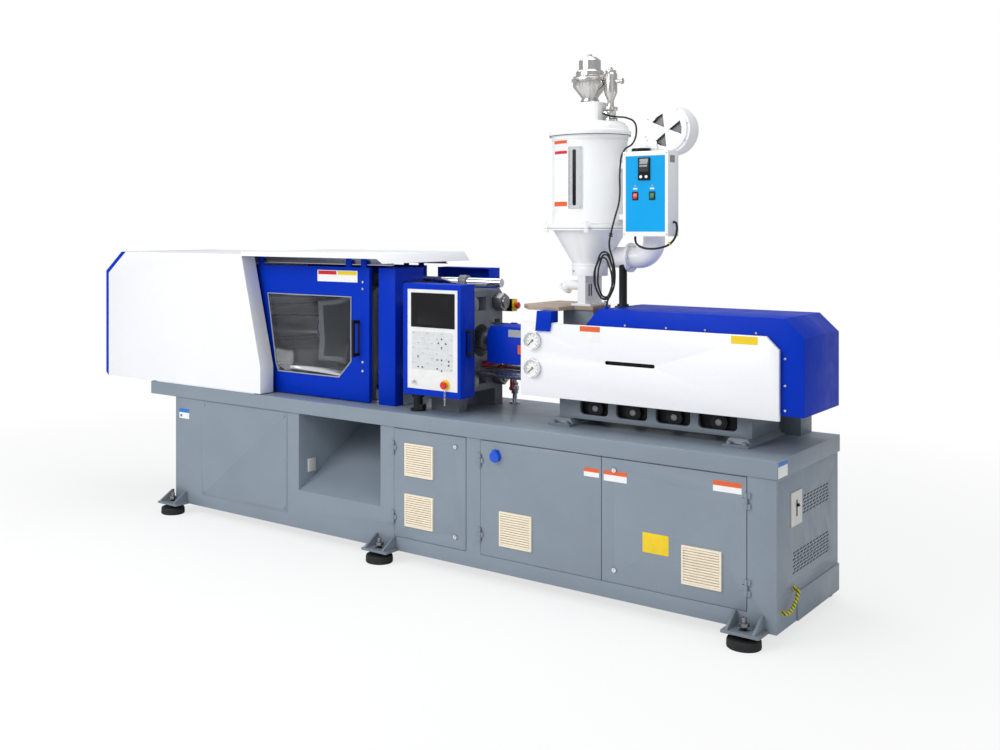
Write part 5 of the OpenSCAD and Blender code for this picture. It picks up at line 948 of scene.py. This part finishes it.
box = {"x0": 1507, "x1": 1767, "y": -130, "z0": 1925, "z1": 2380, "margin": 17, "rockerX": (1579, 1677),
       "rockerZ": 2141, "lampX": (1616, 1647), "lampZ": 2243, "filter": (1583, -65, 2378)}
front = block(dryerBlue, (box["x0"] + box["margin"], box["y"] + 1.1, box["z0"] + 25),
              (box["x1"] - box["margin"], box["y"] + 2.2, box["z1"] - 25))
rockerFrames = []
for x in box["rockerX"]:
    front = cut(front, block(dryerBlue, (x - 15, -140, box["rockerZ"] - 20), (x + 15, -120, box["rockerZ"] + 20)))
    rim = block(blackPlastic, (x - 18, -131, box["rockerZ"] - 23), (x + 18, -128, box["rockerZ"] + 23), 1.2)
    hole = block(blackPlastic, (x - 13.6, -140, box["rockerZ"] - 18.5), (x + 13.6, -120, box["rockerZ"] + 18.5))
    rockerFrames.append(cut(rim, hole))
    rockerFrames.append(block(labelWhite, (x - 12, -129.6, 2176), (x + 12, -128.4, 2184), 0.3))
    rockerFrames.append(turned(chrome, [(5, 0), (5, 1.6), (3.6, 2.6)], (x, -128.6, 2196), (0, -1, 0), 20))
add("dryerFront", "carriage", "dryer_paint", [front])
digits = [block(sealGrey, (1609 + 9 * i, -139.5, 2326 - 15 * k), (1616 + 9 * i, -139, 2336 - 15 * k))
          for i in range(5) for k in range(3)]
lamps = [turned(labelWhite, [(8, 0), (8, 1.4), (6, 2)], (x, -138, box["lampZ"]), (0, -1, 0), 24)
         for x in box["lampX"]]
add("dryerDisplay", "carriage", "black_plastic",
    [block(screenGlass, (1605, -139, 2272), (1659, -137.6, 2339), 0.8)] + lamps + digits + rockerFrames)
vents = [block(blackPlastic, (box["x1"], -104 + 12 * i, 2318), (box["x1"] + 0.6, -97 + 12 * i, 2356), 0.2)
         for i in range(5)]
add("dryerVents", "carriage", "black_plastic", vents)
add("dryerScrews", "carriage", "chrome", [
    heads(chrome, [(x, box["y"], z) for x in (box["x0"] + 8, box["x1"] - 8)
                   for z in (box["z0"] + 12, box["z1"] - 12)], (0, -1, 0), 3.6, 2)])
filterX, filterY, filterZ = box["filter"]
add("dryerFilter", "carriage", "black_plastic", [
    turned(blackPlastic, [(50.5, 0), (50.5, 20), (48, 26), (40, 31), (24, 35), (0.5, 36.5)], box["filter"]),
    ring(blackPlastic, (filterX, filterY, filterZ + 8), (0, 0, 1), 51, 2.4)])
print("dryer details made")

# Blower and hot air pipe: intake gauze, rims, motor ribs, flange bolts


def circle(x, y, z, radius, angles, plane="XZ"):
    # points on a circle, for screws
    turns = [(math.cos(math.radians(a)) * radius, math.sin(math.radians(a)) * radius) for a in angles]
    return [(x + a, y, z + b) if plane == "XZ" else (x, y + a, z + b) for a, b in turns]


fan = {"x": 1690, "y": 12, "z": 2500, "screwRadius": 124, "motor": 146, "ribs": 6, "ribStep": 14}
pipe = {"x": 1466, "y": 60, "z": 1805, "boltRadius": 70}
add("blowerGauze", "carriage", "bright_steel",
    [turned(gauze, [(104, 0), (104, 1)], (fan["x"], fan["y"] + 20, fan["z"]), (0, -1, 0), 64)])
rims = [(3, 114, 3), (12, 130, 3.4), (116, 131, 3.4)]
add("blowerRims", "carriage", "dryer_paint", [
    ring(dryerPaint, (fan["x"], fan["y"] + y, fan["z"]), (0, 1, 0), radius, thickness, 80)
    for y, radius, thickness in rims] + [
    turned(dryerPaint, [(15, 0), (13, 3), (6, 5)], (fan["x"], fan["y"], fan["z"]), (0, -1, 0), 32),
    heads(chrome, circle(fan["x"], fan["y"] + 8, fan["z"], fan["screwRadius"], range(15, 360, 45)), (0, -1, 0),
          4.5, 3.5)])
ribs = [turned(motorPaint, [(62.5, 0), (66, 1), (66, 4), (62.5, 5)],
               (fan["x"], fan["motor"] + fan["ribStep"] * i, fan["z"]), (0, 1, 0), 48) for i in range(fan["ribs"])]
add("blowerMotorRibs", "carriage", "motor_paint", ribs + [
    turned(motorPaint, [(61, 0), (60, 6), (50, 10), (10, 11)], (fan["x"], 234, fan["z"]), (0, 1, 0), 48)])
add("pipeFlangeBolts", "carriage", "chrome", [
    heads(chrome, circle(pipe["x"], pipe["y"], pipe["z"], pipe["boltRadius"], range(0, 360, 60), "YZ"), (1, 0, 0),
          6, 6)])
print("blower details made")

# Cords: hoses, earth cable, and the lead and box cable of the dryer along the same routes as the CAD's

cord = {"leadRadius": 5, "boxRadius": 6, "tieX": 1450, "tieZ": 1938}
earthCable = [((2440, -500, 100), (2600, 0, 300))]
hoses = cadCopy("hoses_and_cables", [hoseRed, (earthYellow, earthCable)], 0)
add("hosesAndCables", "bed", "red_plastic", [smooth(hoses, 60)], "hoses_and_cables")
leadRoute = [
    (1366, -70.2, 2601), (1366, -88, 2600), (1388, -84, 2590), (1416, -30, 2584),
    (1442, 60, 2580), (1462, 96, 2560), (1474, 96, 2510), (1474, 66, 2450),
    (1472, -66, 2380), (1468, -88, 2290), (1468, -96, 2120), (1462, -140, 2020),
    (1450, -158, 1940), (1444, -166, 1880), (1450, -128, 1780), (1452, -116, 1700),
    (1438, -124, 1620), (1412, -148, 1580), (1380, -178, 1620), (1370, -190, 1700),
    (1382, -186, 1780), (1414, -164, 1840), (1444, -142, 1780), (1450, -138, 1700),
    (1442, -148, 1630), (1422, -166, 1594), (1396, -190, 1640), (1392, -196, 1710),
    (1402, -190, 1780), (1424, -176, 1826), (1450, -158, 1780), (1460, -152, 1710),
    (1452, -164, 1636), (1428, -186, 1586), (1396, -212, 1630), (1384, -224, 1700),
    (1396, -218, 1770), (1424, -196, 1810), (1452, -180, 1760), (1466, -176, 1690),
    (1462, -184, 1620), (1444, -188, 1570), (1440, -188, 1546.2)]
boxRoute = [
    (1548, -66, 1924.8), (1548, -66, 1906), (1558, -70, 1884), (1590, -76, 1866),
    (1640, -80, 1858), (1700, -80, 1864), (1748, -76, 1882), (1776, -72, 1912),
    (1788, -68, 1952), (1787, -66, 1984), (1780, -66, 2000), (1767.2, -66, 2000)]
add("dryerLead", "carriage", "black_plastic", [
    tube(hoseBlack, leadRoute, cord["leadRadius"], 3, steps=5),
    tube(hoseBlack, boxRoute, cord["boxRadius"], 3, steps=5),
    ring(hoseBlack, (cord["tieX"], -158, cord["tieZ"]), (0.1, 0, 1), 6, 4.5, 28),
    ring(hoseBlack, (cord["tieX"] - 1, -159, cord["tieZ"] - 11), (0.3, 0, 1), 7, 4, 28),
    ring(yellowPlastic, (1752, -76, 1887), (0.7, 0.1, 0.75), 8, 3.6, 28)], "dryer_lead")

# Small pieces of the carriage and the clamp: screws, plain fields, rollers and black sheets of painted shade behind
# the base windows, stop's chain

cover = {"y": -258, "endX": 2430, "endZ": (1340, 1210, 1090), "topX": (1585, 1817, 2027, 2288), "topZ": 1455}
guard = {"y": -119.9, "greyLow": (770, 1336), "greyHigh": (864, 1378), "orangeLow": (834, 1240),
         "orangeHigh": (868, 1291)}
window = {"x": [(1278, 1448), (1496, 1677), (1725, 1916), (1959, 2165)], "z": 984, "low": 944, "high": 1050}
chain = {"x": 514, "y": -397, "z": 1020, "step": 9, "links": 9}
add("coverScrews", "carriage", "chrome", [
    heads(chrome, [(cover["endX"], cover["y"], z) for z in cover["endZ"]]
          + [(x, cover["y"], cover["topZ"]) for x in cover["topX"]], (0, -1, 0), 6, 4)])
(greyX, greyZ), (greyEndX, greyEndZ) = guard["greyLow"], guard["greyHigh"]
(orangeX, orangeZ), (orangeEndX, orangeEndZ) = guard["orangeLow"], guard["orangeHigh"]
add("guardFields", "nozzle_guard", "white_paint", [
    block(sealGrey, (greyX, guard["y"] - 0.8, greyZ), (greyEndX, guard["y"], greyEndZ)),
    block(orangeSheet, (orangeX, guard["y"] - 0.9, orangeZ), (orangeEndX, guard["y"], orangeEndZ))])
# black sheets behind the base windows are painted shade that darkens the inside of the base; the rollers in front of
# them are real parts
rollersAndShadeSheets = [block(blackPlastic, (low - 8, -150, window["low"]), (high + 8, -147, window["high"]))
           for low, high in window["x"]]
for low, high in window["x"]:
    x, z = (low + high) / 2, window["z"]
    rollersAndShadeSheets.append(rod(blackPaint, (x, -172, z), (x, -148, z), 46, 48, 4))
    rollersAndShadeSheets.append(rod(darkSteel, (x, -175, z), (x, -170, z), 17, 32, 1.5))
add("baseRollersAndShadeSheets", "bed", "black_plastic", rollersAndShadeSheets)
add("stopChain", "control_panel", "chrome", [
    ring(chrome, (chain["x"], chain["y"], chain["z"] - chain["step"] * i), (1, 0, 0) if i % 2 else (0, 1, 0), 5, 1.3,
         20, 8) for i in range(chain["links"])])
print("cords and small pieces made")

# nodes that are shown as they are and only take a finish
plainFinish = {"thrust_block": castPaint, "screw": brightSteel, "blower_wheel": stainless}
for node, paint in plainFinish.items():
    frame["nodes"][node].data.materials.clear()
    frame["nodes"][node].data.materials.append(paint.material)
